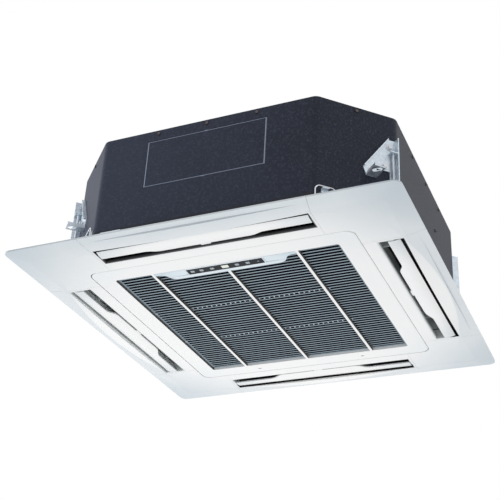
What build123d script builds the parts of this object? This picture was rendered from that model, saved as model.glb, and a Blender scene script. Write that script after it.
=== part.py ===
from build123d import *

import os
from math import cos, hypot, radians, sin, sqrt

# Four-way ceiling cassette air conditioner, 950 mm panel on an 830 mm casing.
# Millimetres. The origin is the centre of the panel in the ceiling plane (z = 0).
# +Z points up into the ceiling void, -Y is the front (the display side), +X is the right.
# The panel hangs below z = 0 and the casing stands above it.

# ---------------------------------------------------------------- common fits
CUT = 1.0                 # how far a cutting tool runs past a face
WELD = 1.0                # how far a boss or post sinks into what it stands on
ASSEMBLY_GAP = 0.3        # between parts that are only put together
HOLE_CLEAR = 0.1          # round screws and bolts
BUSH_FIT = 0.02
SHAFT_FIT = 0.05
HINGE_FIT = 0.05

# ---------------------------------------------------------------- panel
PANEL_SIDE = 950.0
PANEL_LAP = 60.0          # panel beyond the casing on every side
PANEL_CORNER_R = 18.0
RIM_THICK = 12.0          # edge of the panel, measured down from the ceiling
FACE_DROP = 18.0          # visible face of the panel below the ceiling
RIM_SLOPE = 45.0          # width of the margin that slopes from edge to face
RIM_SEAT = 20.0           # width of the band that reaches up to the ceiling
RIM_EDGE = 4.0            # thickness of the panel's thin outer edge
RIM_BEVEL = 14.0          # bevel above that edge, up to the ceiling
SKIN = 8.0                # thickness of the panel's face
COVER_THICK = 3.0         # snap-on corner covers
COVER_START = 6.0         # from an outlet's end to the corner cover's seam
COVER_FLARE = 8.0         # how much further the seam stands at the panel's edge
SEAM = 0.5                # visible gap beside covers
BOSS_HEIGHT = 6.0         # stud bosses on the back of the panel
BOSS_WALL = 3.8

# ---------------------------------------------------------------- air outlets
OUTLET_MARGIN = 51.5      # face between an outlet and the panel's edge
OUTLET_WIDTH = 61.0
OUTLET_HALF = 262.0       # half the outlet's length
LIP_DEPTH = 34.0          # crescent lip outside the outlet: reach and rise
LIP_RISE = 4.0
DUCT_WALL = 2.0
DUCT_SETBACK = 12.0       # discharge slot inside the casing's wall
DUCT_WIDTH = 58.0
DUCT_FLANGE = 4.0
DUCT_RECESS = 0.5         # duct collar above the panel's face
SEAL_THICK = 2.0
VANE_PLACES = (-205.0, 170.0)
VANE_THICK = 3.0
VANE_BOTTOM = 2.0
VANE_HEIGHT = 20.0

# ---------------------------------------------------------------- louvres
LOUVRE_AXIS_IN = 23.5     # pivot inside the outlet's outer edge
LOUVRE_AXIS_RISE = 10.0   # pivot above the panel's face
LOUVRE_OUTER_GAP = 9.5    # outer edge of the blade to the outlet's outer edge
LOUVRE_NARROW_GAP = 23.5  # inner edge near the ends to the outlet's inner edge
LOUVRE_WIDE_GAP = 10.5    # inner edge in the middle to the outlet's inner edge
LOUVRE_WIDE_HALF = 105.0
LOUVRE_CURVE = 45.0       # length of the S-curve between the two
LOUVRE_END_GAP = 2.0
LOUVRE_THICK = 3.2
LOUVRE_CAMBER_R = 62.0
LOUVRE_PIN_R = 3.0
LOUVRE_PIN_LENGTH = 6.0
END_PLATE_THICK = 3.0
LOUVRE_SINK = 1.0         # lowest line of a louvre below the panel's face
TAB_WIDTH = 24.0
TAB_REACH = 4.0
TAB_ROOT = 2.0
TAB_LOW = 3.8             # tab above the blade's lowest line: underside and top
TAB_HIGH = 6.0
BUSH_WALL = 2.5
BUSH_LENGTH = 4.0
STEPPER_R = 9.0
STEPPER_LENGTH = 11.0
STEPPER_RISE = 8.0        # motor body above its output shaft
STEPPER_LUG = 3.0
STEPPER_BOSS = 2.0

# ---------------------------------------------------------------- intake grille
GRILLE_MARGIN = 33.0      # face between an outlet and the grille
GRILLE_CORNER_R = 24.0
CORNER_EASE = 2.5         # the opening's corners are tighter, so that the grille swings clear
GRILLE_GAP = 1.1          # seam round the grille
GRILLE_CHAMFER = 1.0
BORDER_WIDTH = 47.5
BORDER_THICK = 7.0
WINDOW_CORNER_R = 6.0
RIB_PITCH = 182.0
RIB_WIDTH = 7.0
SLAT_PITCH = 12.5
SLAT_FACE = 4.4           # lower edge of a slat
SLAT_BACK = 2.4
SLAT_DEPTH = 8.0
INSERT_LIP = 6.0          # slat insert's overlap on the border
INSERT_THICK = 3.0
INSERT_CORNER_R = 4.0
TIE_WIDTH = 3.0
TIE_PITCH = 13.0
TIE_COUNT = 30
TIE_ROWS = (-77.0, 98.0)
FILTER_THICK = 2.2
FILTER_SHEET = 0.6
FILTER_RIM = 8.0
FILTER_CORNER_R = 6.0
FILTER_BAR = 1.6
FILTER_CELLS = 12
HINGE_INSET = 17.5        # hinge axis behind the grille's front edge
HINGE_RISE = 4.0          # hinge axis above the grille's face
HINGE_X = 220.0
HINGE_PIN_R = 1.2
KNUCKLE_R = 2.3
KNUCKLE_WIDTH = 12.0
HINGE_NOTCH = 5.5         # notch behind the hinge axis
HINGE_FLOOR = 2.5         # notch below the hinge axis
PIN_GRIP = 4.0
LEDGE_THICK = 3.0
LEDGE_WIDTH = 25.6
LEDGE_WALL = 5.4
LATCH_X = 150.0
LATCH_INSET = 25.5        # latch behind the grille's edge
LATCH_THICK = 2.4
LATCH_KNOB = 4.0
GUIDE_WALL = 2.0
GUIDE_LIP = 1.5
LATCH_LENGTH = 40.0
LATCH_WIDTH = 14.0
LATCH_TRAVEL = 5.0
LATCH_TONGUE = 20.0
LATCH_REACH = 3.0
LATCH_SLOT_CLEAR = 1.0
LATCH_SLOT_Z = (-0.2, 3.5)  # slot in the panel's wall, from the latch's underside

# ---------------------------------------------------------------- display
WING_SHALLOW = 10.0       # wing's reach into the window near its ends
WING_DEEP = 38.0          # and in the middle
WING_PROUD = 0.6
WING_INSET_FRONT = 12.0   # S-curve of the wing's back edge, from the rib's middle
WING_INSET_BACK = 54.0
WING_CLEAR = 0.1
STRIP_WIDTH = 192.0
STRIP_DEPTH = 23.0
STRIP_INSET = 15.5        # strip's middle behind the window's front edge
STRIP_THICK = 2.4
STRIP_FIT = 0.1
STRIP_LEDGE = 6.0         # the wing's seat under the strip's ends
STRIP_SIDE_LEDGE = 5.0
BOARD_EDGE = 3.0
FACET_DEPTH = 1.6
FACET_START = 2.0         # facets beside the strip: from its end to the wing's curve
FACET_END = 4.0
BOARD_THICK = 1.6
BOARD_DROP = 0.5          # display board below the border's back
LAMP_PLACES = (-83.0, -60.0, -33.0, 0.0, 30.0, 57.0)
LAMP_R = 1.5
LAMP_HEIGHT = 2.0
BUTTON_INSET = 13.0       # from the strip's right end
BUTTON_R = 2.2
BUTTON_TRAVEL = 0.8
BUTTON_PROUD = 0.3
BUTTON_PLAY = 0.1
COLLAR_WIDTH = 1.3
COLLAR_THICK = 0.8

# ---------------------------------------------------------------- casing
BODY_HEIGHT = 287.0
BODY_LIFT = 10.0          # underside of the casing above the ceiling plane
WALL_PAST_OUTLET = 10.0   # flat of a side wall beyond an outlet's end
BEND_R = 22.0
SHEET = 1.2
WALL_SEAM = 0.4           # gap where two wall sheets meet, just past a bend
BASE_HEIGHT = 30.0        # drain pan's visible wall below the steel
PAN_UPSTAND = 16.0
LINER_THICK = 10.0
LINER_JOINT = 0.2         # between two foam boards
OCTAGON_TURN = 45.0       # degrees between two walls
LINER_MOTOR_GAP = 4.0
LID_FLANGE = 15.0
SCREW_DROP = 10.0         # casing screws below the top edge
SCREW_PITCH = 127.0
SCREW_R = 1.9
SCREW_HEAD_R = 4.2
SCREW_HEAD_H = 2.2
SCREW_LENGTH = 9.0
KNOCKOUT_WIDTH = 307.0
KNOCKOUT_HEIGHT = 129.0
KNOCKOUT_DROP = 94.0      # knock-out's middle below the top edge
KNOCKOUT_GAP = 1.2
KNOCKOUT_TAB = 9.0
SEAM_SCREW_X = 80.0       # mid-height screws of the side walls
SEAM_SCREW_Z = 196.0
BEAD_RADIUS = 270.0       # pressed beads of the lid
BEAD_LENGTH = 200.0
BEAD_WIDTH = 26.0
BEAD_RISE = 2.5

# ---------------------------------------------------------------- hanger brackets
HANGER_X_OUT = 46.5       # suspension bolt from the middle of the chamfer, along X
HANGER_Y_IN = 3.5         # and along Y, inwards
SLOT_LENGTH = 24.0
SLOT_R = 6.0
STEEL = 2.5
LUG_Z = 118.0
LUG_HALF = 13.0
LUG_BEYOND = 13.0         # lug beyond the slot's centre
LUG_NOTCH = 24.0          # height of the notch between the lug and the long strip
BRACKET_TIP = 21.0        # bracket's tip from the slot's centre
BRACKET_END = 4.1         # bracket's edge from the chamfer's end
BRACKET_TOP = 229.0
BRACKET_APEX = 21.0       # width of the bracket's top
BRACKET_FOOT = 46.0
BRACKET_STRIP = 16.0
BRACKET_FLANGE = 9.0
LUG_SHOULDER = 22.0
LUG_RIM = 8.0
BRACKET_BOLTS = ((29.0, 154.0), (15.0, 208.0))  # from the bracket's edge, height
LUG_BOLT_Z = 134.0        # third bolt, above the slot
STUD_R = 3.0
STUD_INSET = 10.0
STUD_OUT = 9.0
STUD_EAR_Z = 186.0
STUD_FIT = 0.1
BOLT_R = 3.0
BOLT_LENGTH = 10.0
HEX_BOLT_R = 6.0
HEX_HEIGHT = 4.0
WASHER_R = 9.0
WASHER_THICK = 1.6
CLIP_THICK = 2.0
CLIP_PLACE = (-253.0, 31.0)   # strip on the base: left end and lower edge
CLIP_LENGTH = 53.0
CLIP_HEIGHT = 3.5
CLIP_PROUD = 1.0

# ---------------------------------------------------------------- wire hooks of the panel
HOOK_WIRE_R = 1.5
HOOK_OUT = 8.0            # wire stands off the chamfer
HOOK_PAST = 1.9           # wire beyond the chamfer's end
HOOK_WIDTH = 50.0
HOOK_PIVOT_Z = 4.0
HOOK_TOP_Z = 53.0
HOOK_CORNER_R = 12.0
HOOK_BEND_R = 2.5
HOOK_END = 11.0
EAR_WALL = 4.0            # post round a hook's end
EAR_CLEAR = 1.0
CATCH_GAP = 0.5
CATCH_WIDTH = 16.0

# ---------------------------------------------------------------- base and bell mouth
PAN_RIM = 6.0             # pan between its opening and the trough
PAN_STEP_WIDTH = 10.0     # step that the bell mouth's plate lies under
PAN_CORNER_R = 30.0
TROUGH_CORNER = 40.0
TROUGH_INSIDE = 9.0       # trough's edge inside the coil
TROUGH_OUTSIDE = 11.0     # and outside it
TROUGH_FLOOR = 24.0       # thickness of the pan under the trough
BELL_MARGIN = 35.0        # bell mouth inside the pan's step
BELL_REACH = 33.0         # width of the bell mouth's curve
BELL_PLATE = 3.0
BELL_WALL = 2.0
BELL_LAP = 0.5
BELL_RISE = 48.0
BELL_SCREW_INSET = 60.0

# ---------------------------------------------------------------- fan and motor
FAN_GAP = 33.0            # between the fan and the coil
FAN_INLET_GAP = 10.0      # shroud's mouth round the bell mouth
FAN_HEIGHT = 156.0
FAN_LIFT = 8.0            # shroud starts below the end of the bell mouth
FAN_WALL = 2.5
SHROUD_RISE = 32.0
BLADES = 7
BLADE_THICK = 3.0
BLADE_DEPTH = 82.0        # blade from the fan's rim inwards
BLADE_SWEEP = 38.0
BLADE_BOW = 0.42          # share of the sweep at the blade's middle
BLADE_RISE = 16.0         # inner ends of the blades above the shroud's mouth
HUB_BOWL_GAP = 35.0       # hub bowl round the motor
HUB_FLOOR_INSET = 45.0    # bowl's floor inside its rim
HUB_CLEAR = 19.3          # between the motor's boss and the bowl's floor
HUB_BOSS_R = 16.0
HUB_BOSS_LENGTH = 21.0
NUT_R = 9.0
NUT_HEIGHT = 8.0
NUT_WASHER = 1.5
SHAFT_R = 5.0
SHAFT_PAST_NUT = 3.0
MOTOR_R = 70.0
MOTOR_HEIGHT = 84.0
MOTOR_FLANGE = 3.0
MOTOR_EAR = 10.0          # fixing circle outside the motor's can
MOTOR_LAP = 12.0
BOSS_DROP = 10.0
BOSS_RIM = 4.0
MOUNT_THICK = 8.0
MOUNT_R = 9.0
MOTOR_STUD_R = 3.0
BEARING_R = 11.0
BEARING_WIDTH = 7.0
BEARING_INSET = 1.0
BEARING_TOP_INSET = 3.0

# ---------------------------------------------------------------- heat exchanger and pipes
COIL_MARGIN = 42.0        # coil inside the discharge slots
COIL_THICK = 38.0
COIL_CORNER_R = 45.0
COIL_OPEN = 95.0          # how far the coil stops short of the pipe corner
COIL_SHORT = 7.0          # least step from the flat side wall's end to the coil's inner face
COIL_TOP_GAP = 1.5
END_PLATE = 2.0
END_PLATE_LAP = 2.0
TUBE_R = 4.8
TUBE_ROWS = 9
TUBE_MARGIN = 20.0
HEADER_R = 11.0
HEADER_STANDOFF = 28.0
HEADER_PAST = 10.0
HEADER_NECK = 4.0
GAS_R = 7.94
LIQUID_R = 4.76
PIPE_WALL = 1.0
GAS_Z = 200.0
LIQUID_Z = 150.0
GAS_U = -15.0             # gas pipe's exit, along the chamfer from its middle
LIQUID_INSET = 24.0       # liquid pipe's exit inside the pipe window
PIPE_BEND_R = 30.0
PIPE_RUN = 20.0           # least sideways run of the liquid pipe before the chamfer
PIPE_STANDOUT = 30.0
GAS_THREAD_R = 11.1
LIQUID_THREAD_R = 7.9
THREAD_LENGTH = 14.0
UNION_FLAT = 10.0
UNION_SOCKET = 8.0
UNION_WALL = 3.0
PIPE_PLATE = 1.5
PIPE_WINDOW_INSET = 27.1  # pipe window from the chamfer's end
PIPE_WINDOW_PAST = 21.0   # and beyond the gas pipe's axis
PIPE_WINDOW_Z = (126.0, 224.0)
PIPE_PLATE_LAP = 7.0
PIPE_SCREW_INSET = 10.0

# ---------------------------------------------------------------- drain
PUMP_INSET = 199.0        # pump's axis from the side wall, at least
PUMP_FLAT = 56.0          # and from the end of the flat back wall, at least
PUMP_R = 24.0
PUMP_HEIGHT = 56.0
PUMP_NECK_R = 14.0
PUMP_NECK_WALL = 2.0
PUMP_NECK_DEPTH = 6.0
PUMP_LIFT = 2.0           # intake above the trough's floor
PUMP_PLATE = 2.0
DECK_LEFT = 26.0          # pump plate from the pump's axis
DECK_RIGHT = 84.0
DECK_LAP = 10.0           # and beyond the trough's edges
DECK_TAIL = 20.0
PUMP_SCREWS = (-16.0, 72.0)  # along X from the pump's axis
PUMP_SCREW_PAST = 11.0    # behind the trough
PORT_LENGTH = 14.0
DRAIN_R = 12.0
DRAIN_WALL = 2.0
DRAIN_Z = 90.0
SOCKET_WALL = 4.0
SOCKET_LENGTH = 32.0
SOCKET_FLANGE = 7.0
HOSE_INSERT = 8.0
FLOAT_STEP = 48.0         # float from the pump's axis
FLOAT_R = 10.0
FLOAT_HEIGHT = 10.0
FLOAT_STEM_R = 3.0
FLOAT_STOP = 2.0
FLOAT_LIFT = 3.3
SWITCH_HEIGHT = 14.0

# ---------------------------------------------------------------- electrics
BOX_HALF = 160.0
BOX_INSET = 2.0           # box inside the pan's opening
BOX_WIDTH = 42.0
BOX_WALL = 1.5
BOX_DEPTH = 26.0
BOX_SCREW_INSET = 8.0
BOARD_GAP = 2.0           # board inside the box's walls
BOARD_SHARE_END = 90.0    # board's right end inside the box's right end
BOARD_PARTS = ((30.0, 34.0, 16.0), (80.0, 22.0, 9.0), (120.0, 50.0, 4.0), (185.0, 30.0, 12.0))
PART_INSET = (6.0, 8.0)
TERMINALS = 5
TERMINAL_GAP = 6.0
TERMINAL_HEIGHT = 12.0
TERMINAL_HOLE = 4.0
CABLE_Y = -150.0
CABLE_Z = 90.0
CABLE_R = 9.0
GLAND_WALL = 4.0
GLAND_HEX = 10.0
GLAND_LENGTH = 18.0
GLAND_NUT = 6.0
GLAND_FLAT = 4.0
GLAND_NUT_FLAT = 2.0

# ---------------------------------------------------------------- derived places
HALF = PANEL_SIDE / 2
BODY_HALF = HALF - PANEL_LAP
OUTLET_OUT = HALF - OUTLET_MARGIN
OUTLET_IN = OUTLET_OUT - OUTLET_WIDTH
COVER_INNER = OUTLET_HALF + COVER_START
COVER_OUTER = COVER_INNER + COVER_FLARE
DUCT_OUT = BODY_HALF - DUCT_SETBACK
DUCT_IN = DUCT_OUT - DUCT_WIDTH
DUCT_HALF = OUTLET_HALF - ASSEMBLY_GAP - DUCT_WALL
LOUVRE_HALF = DUCT_HALF - LOUVRE_END_GAP
BODY_TOP = BODY_LIFT + BODY_HEIGHT
BASE_TOP = BODY_LIFT + BASE_HEIGHT
PAN_TOP = BASE_TOP + PAN_UPSTAND
TROUGH_Z = BODY_LIFT + TROUGH_FLOOR
FACE_Z = -FACE_DROP
POCKET_Z = FACE_Z + SKIN
LOUVRE_AXIS_Y = OUTLET_OUT - LOUVRE_AXIS_IN
LOUVRE_AXIS_Z = FACE_Z + LOUVRE_AXIS_RISE
LOUVRE_OUTER = OUTLET_OUT - LOUVRE_OUTER_GAP
LOUVRE_NARROW = OUTLET_IN + LOUVRE_NARROW_GAP
LOUVRE_WIDE = OUTLET_IN + LOUVRE_WIDE_GAP
GRILLE_HALF = OUTLET_IN - GRILLE_MARGIN
GRILLE_OPENING = GRILLE_HALF + GRILLE_GAP
OPENING_CORNER_R = GRILLE_CORNER_R - CORNER_EASE
WINDOW_HALF = GRILLE_HALF - BORDER_WIDTH
BORDER_BACK = FACE_Z + BORDER_THICK
INSERT_HALF = WINDOW_HALF + INSERT_LIP
INSERT_TOP = BORDER_BACK + SLAT_DEPTH
HINGE_Y = GRILLE_HALF - HINGE_INSET
HINGE_Z = FACE_Z + HINGE_RISE
HINGE_SWING = hypot(HINGE_INSET, HINGE_RISE)
LEDGE_Z = HINGE_Z + HINGE_SWING + ASSEMBLY_GAP
LEDGE_TOP = LEDGE_Z + LEDGE_THICK
LATCH_Y = GRILLE_HALF - LATCH_INSET
LATCH_TOP = BORDER_BACK + LATCH_THICK
WING_EDGE = WINDOW_HALF - WING_SHALLOW
WING_BACK = WINDOW_HALF - WING_DEEP
WING_HALF_FRONT = RIB_PITCH - WING_INSET_FRONT
WING_HALF_BACK = RIB_PITCH - WING_INSET_BACK
WING_FACE = FACE_Z - WING_PROUD
STRIP_Y = WINDOW_HALF - STRIP_INSET
BUTTON_X = STRIP_WIDTH / 2 - BUTTON_INSET
BOARD_Z = BORDER_BACK - BOARD_THICK - BOARD_DROP
DUCT_TOP = BODY_LIFT - SEAL_THICK
DIAGONAL = sqrt(0.5)
CORNER_LEG = BODY_HALF - OUTLET_HALF - WALL_PAST_OUTLET
CORNER_MID = BODY_HALF - CORNER_LEG / 2
CHAMFER_HALF = CORNER_LEG * DIAGONAL
LID_UNDERSIDE = BODY_TOP - SHEET
LINER_UNDERSIDE = LID_UNDERSIDE - LINER_THICK
KNOCKOUT_Z = BODY_TOP - KNOCKOUT_DROP
COIL_OUT = DUCT_IN - COIL_MARGIN
COIL_IN = COIL_OUT - COIL_THICK
COIL_END = min(COIL_IN, OUTLET_HALF + WALL_PAST_OUTLET - COIL_SHORT) - COIL_OPEN
COIL_BOTTOM = TROUGH_Z + ASSEMBLY_GAP
COIL_TOP = LINER_UNDERSIDE - COIL_TOP_GAP
TROUGH_IN = COIL_IN - TROUGH_INSIDE
TROUGH_OUT = COIL_OUT + TROUGH_OUTSIDE
PAN_OPENING = TROUGH_IN - PAN_RIM
PAN_STEP = PAN_OPENING - PAN_STEP_WIDTH
BELL_MOUTH_R = PAN_STEP - BELL_MARGIN
BELL_THROAT_R = BELL_MOUTH_R - BELL_REACH
BELL_SCREW_X = PAN_OPENING - BELL_SCREW_INSET
BELL_TOP = BASE_TOP + BELL_RISE
FAN_R = COIL_IN - FAN_GAP
FAN_INLET_R = BELL_THROAT_R + FAN_INLET_GAP
BLADE_IN_R = FAN_R - BLADE_DEPTH
FAN_BOTTOM = BELL_TOP - FAN_LIFT
FAN_TOP = FAN_BOTTOM + FAN_HEIGHT
BLADE_Z = FAN_BOTTOM + BLADE_RISE
FLANGE_TOP = LID_UNDERSIDE - MOUNT_THICK
MOTOR_BOTTOM = FLANGE_TOP - MOTOR_HEIGHT
BOSS_BOTTOM = MOTOR_BOTTOM - BOSS_DROP
FIXING_R = MOTOR_R + MOTOR_EAR
HUB_BOWL_R = MOTOR_R + HUB_BOWL_GAP
HUB_FLOOR_R = HUB_BOWL_R - HUB_FLOOR_INSET
HUB_FLOOR_Z = BOSS_BOTTOM - FAN_WALL - HUB_CLEAR
HUB_BOSS_Z = HUB_FLOOR_Z - HUB_BOSS_LENGTH
NUT_Z = HUB_BOSS_Z - NUT_HEIGHT
HANGER_U = (HANGER_X_OUT + HANGER_Y_IN) * DIAGONAL
HANGER_OUT = (HANGER_X_OUT - HANGER_Y_IN) * DIAGONAL
BRACKET_RIGHT = CHAMFER_HALF - BRACKET_END
STUD_U = BRACKET_RIGHT - STUD_INSET
HOOK_LEFT = -CHAMFER_HALF - HOOK_PAST
PIPE_WINDOW = (-CHAMFER_HALF + PIPE_WINDOW_INSET, GAS_U + PIPE_WINDOW_PAST, *PIPE_WINDOW_Z)
TUBE_NEAR = COIL_IN + COIL_THICK / 4
TUBE_FAR = COIL_IN + COIL_THICK * 3 / 4
LIQUID_U = max(PIPE_WINDOW[0] + LIQUID_INSET, (TUBE_NEAR + PIPE_RUN - CORNER_MID) / DIAGONAL)
HEADER_Y = COIL_END + END_PLATE + HEADER_STANDOFF
GAS_START = HEADER_Y + HEADER_R + HEADER_NECK
PUMP_X = BODY_HALF - max(PUMP_INSET, CORNER_LEG + PUMP_FLAT)
PUMP_Y = (TROUGH_IN + TROUGH_OUT) / 2
PUMP_SCREW_Y = TROUGH_OUT + PUMP_SCREW_PAST
FLOAT_X = PUMP_X + FLOAT_STEP
FLOAT_Z = TROUGH_Z + FLOAT_LIFT
SOCKET_R = DRAIN_R + SOCKET_WALL
BOX_FRONT = PAN_OPENING - BOX_INSET
BOX_BACK = BOX_FRONT - BOX_WIDTH
BOX_MID = (BOX_FRONT + BOX_BACK) / 2
BOX_TOP = BASE_TOP - BELL_PLATE
BOX_LID_Z = BOX_TOP - BOX_DEPTH
BOX_SCREW_X = BOX_HALF - BOX_SCREW_INSET
BOARD_END = BOX_HALF - BOARD_SHARE_END
HALF_KNOCK = KNOCKOUT_WIDTH / 2
KNOCK_LOW = KNOCKOUT_Z - KNOCKOUT_HEIGHT / 2
KNOCK_HIGH = KNOCKOUT_Z + KNOCKOUT_HEIGHT / 2


# ---------------------------------------------------------------- small helpers
def block(x0, x1, y0, y1, z0, z1):
    """A box given by its limits."""
    return Pos((x0 + x1) / 2, (y0 + y1) / 2, (z0 + z1) / 2) * Box(x1 - x0, y1 - y0, z1 - z0)


def square_slab(half, corner_r, z0, z1):
    """A square plate with rounded corners."""
    return extrude(Pos(0, 0, z0) * RectangleRounded(2 * half, 2 * half, corner_r), z1 - z0)


def square_ring(half_out, r_out, half_in, r_in, z0, z1):
    """A square frame with rounded corners."""
    return square_slab(half_out, r_out, z0, z1) - square_slab(half_in, r_in, z0, z1)


def rod(x, y, z0, z1, radius):
    """A vertical cylinder between two heights."""
    return Pos(x, y, (z0 + z1) / 2) * Cylinder(radius, z1 - z0)


def tube(x, y, z0, z1, r_out, r_in):
    """A vertical tube between two heights."""
    return rod(x, y, z0, z1, r_out) - rod(x, y, z0, z1, r_in)


def hex_prism(x, y, z0, z1, radius):
    """A vertical hexagonal prism, sized by its corner radius."""
    return extrude(Pos(x, y, z0) * RegularPolygon(radius, 6), z1 - z0)


def to_side(shape, side):
    """Turns a piece built at the front (-Y) to side 0 front, 1 right, 2 back or 3 left."""
    return Rot(0, 0, 90 * side) * shape


def from_corner(shape):
    """Places a piece built against a wall (X along it, -Y outwards) on the front-right chamfer."""
    wall = Plane(origin=(CORNER_MID, -CORNER_MID, 0), x_dir=(1, 1, 0), z_dir=(0, 0, 1))
    return wall.location * shape


def four_corners(shape):
    """Copies a front-right corner piece to all four corners by mirroring."""
    left = mirror(shape, about=Plane.YZ)
    return [shape, left, mirror(shape, about=Plane.XZ), mirror(left, about=Plane.XZ)]


def along_y(shape, x, y, z):
    """Lays a vertical piece centred on the origin down, so that its +Z points along -Y."""
    return Pos(x, y, z) * Rot(90, 0, 0) * shape


def along_x(shape, x, y, z):
    """Lays a vertical piece centred on the origin down, so that its +Z points along +X."""
    return Pos(x, y, z) * Rot(0, 90, 0) * shape


def octagon(inset=0.0):
    """The casing's outline with bent corners, moved in by inset."""
    half = BODY_HALF - inset
    leg = CORNER_LEG - inset * (2 - sqrt(2))
    points = []
    for sx, sy, first in ((-1, -1, 0), (1, -1, 1), (1, 1, 0), (-1, 1, 1)):
        ends = [(sx * half, sy * (half - leg)), (sx * (half - leg), sy * half)]
        points += ends[::-1] if first else ends
    outline = make_face(Polyline(*points, close=True))
    return fillet(outline.vertices(), max(BEND_R - inset, 2))


def octagon_slab(inset, z0, z1):
    """A plate with the casing's outline."""
    return extrude(Pos(0, 0, z0) * octagon(inset), z1 - z0)


def save(name, solids):
    """Writes one sub-part; solids is one shape or a list of separate ones."""
    pieces = solids if isinstance(solids, list) else [solids]
    bodies = [body for piece in pieces for body in piece.solids()]
    shape = bodies[0] if len(bodies) == 1 else Compound(children=bodies)
    shape.label = name
    export_step(shape, f"parts/{name}.step")


# ---------------------------------------------------------------- panel
def panel_outer(lift=0.0):
    """The panel's outer form: thin edge, bevel above it and sloping margin, without any opening."""
    edge = RectangleRounded(PANEL_SIDE, PANEL_SIDE, PANEL_CORNER_R)
    face_side = PANEL_SIDE - 2 * RIM_SLOPE
    face = RectangleRounded(face_side, face_side, PANEL_CORNER_R)
    seat_side = PANEL_SIDE - 2 * RIM_BEVEL
    seat = RectangleRounded(seat_side, seat_side, PANEL_CORNER_R)
    bottom = -RIM_THICK + lift
    band = extrude(Pos(0, 0, bottom) * edge, RIM_EDGE)
    bevel = loft([Pos(0, 0, bottom + RIM_EDGE) * edge, Pos(0, 0, lift) * seat])
    margin = loft([Pos(0, 0, FACE_Z + lift) * face, Pos(0, 0, bottom) * edge])
    return band + bevel + margin


def cover_region(grow=0.0):
    """The front-right corner that a snap-on cover takes, over the panel's full height."""
    inner, outer = COVER_INNER - grow, COVER_OUTER - grow
    reach = HALF + grow + CUT
    side = OUTLET_OUT
    points = [(inner, -inner), (inner, -side), (outer, -reach), (reach, -reach)]
    points += [(reach, -outer), (side, -inner)]
    corner = extrude(Pos(0, 0, 2 * FACE_Z) * make_face(Polyline(*points, close=True)), 4 * FACE_DROP)
    return corner - square_slab(GRILLE_OPENING, OPENING_CORNER_R, 2 * FACE_Z, CUT)


def cover_shell(thickness, grow=0.0):
    """A layer of the panel's outer form in one corner."""
    return (panel_outer() & cover_region(grow)) - panel_outer(lift=thickness)


def crescent_lip():
    """Lens-shaped swelling outside the front outlet, a slice of one large sphere."""
    circle_r = (OUTLET_HALF**2 + LIP_DEPTH**2) / (2 * LIP_DEPTH)
    chord_r = circle_r - LIP_DEPTH
    drop = (circle_r**2 - chord_r**2 - LIP_RISE**2) / (2 * LIP_RISE)
    ball = Pos(0, -OUTLET_OUT + chord_r, FACE_Z + drop) * Sphere(hypot(drop, circle_r))
    y0, y1 = -OUTLET_OUT - LIP_DEPTH, -OUTLET_OUT
    zone = block(-OUTLET_HALF, OUTLET_HALF, y0, y1, 2 * FACE_Z, POCKET_Z - DUCT_WALL)
    return zone & ball


def stud_place():
    """Centre of the front-right panel stud."""
    x = CORNER_MID + (STUD_U + STUD_OUT) * DIAGONAL
    y = -CORNER_MID + (STUD_U - STUD_OUT) * DIAGONAL
    return x, y


def hook_ears():
    """Two bored posts that carry a wire hook's ends, in chamfer coordinates."""
    ears = []
    top = HOOK_PIVOT_Z + EAR_WALL
    for u, inward in ((HOOK_LEFT, 1), (HOOK_LEFT + HOOK_WIDTH, -1)):
        near = u + inward * (HOOK_BEND_R + EAR_CLEAR)
        far = u + inward * (HOOK_END - EAR_CLEAR)
        left, right = sorted((near, far))
        post = block(left, right, -HOOK_OUT - EAR_WALL, -HOOK_OUT + EAR_WALL, POCKET_Z - WELD, top)
        bore = Cylinder(HOOK_WIRE_R + HINGE_FIT, 2 * HOOK_END)
        ears.append(post - along_x(bore, (left + right) / 2, -HOOK_OUT, HOOK_PIVOT_Z))
    return ears


def hinge_knuckle(x):
    """Ear on the panel's ledge that a grille hinge pin turns in."""
    ear = along_x(Cylinder(KNUCKLE_R, KNUCKLE_WIDTH), x, -HINGE_Y, HINGE_Z)
    half = KNUCKLE_WIDTH / 2
    y0, y1 = -HINGE_Y - KNUCKLE_R, -HINGE_Y + KNUCKLE_R
    ear += block(x - half, x + half, y0, y1, HINGE_Z, LEDGE_Z + WELD)
    return ear - along_x(Cylinder(HINGE_PIN_R + HINGE_FIT, 2 * KNUCKLE_WIDTH), x, -HINGE_Y, HINGE_Z)


def grille_recess():
    """Wall and ledge round the grille's opening, for adding to the panel."""
    corner_r = OPENING_CORNER_R
    wall = square_slab(GRILLE_OPENING + LEDGE_WALL, corner_r + LEDGE_WALL, FACE_Z + WELD, LEDGE_TOP)
    return wall


def grille_void():
    """What the grille's opening takes away: the recess below the ledge and the way through it."""
    recess = square_slab(GRILLE_OPENING, OPENING_CORNER_R, FACE_Z - CUT, LEDGE_Z)
    way = square_slab(GRILLE_OPENING - LEDGE_WIDTH, OPENING_CORNER_R, FACE_Z - CUT, LEDGE_TOP + CUT)
    return recess + way


def louvre_slot():
    """Outlet cut through the panel's face, with room for the louvre's bushes."""
    slot = block(-OUTLET_HALF, OUTLET_HALF, -OUTLET_OUT, -OUTLET_IN, 2 * FACE_Z, CUT)
    bush = Cylinder(LOUVRE_PIN_R + BUSH_WALL + ASSEMBLY_GAP, 3 * BUSH_LENGTH)
    for end in (-1, 1):
        slot += along_x(bush, end * (OUTLET_HALF + BUSH_LENGTH), -LOUVRE_AXIS_Y, LOUVRE_AXIS_Z)
    return slot


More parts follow.
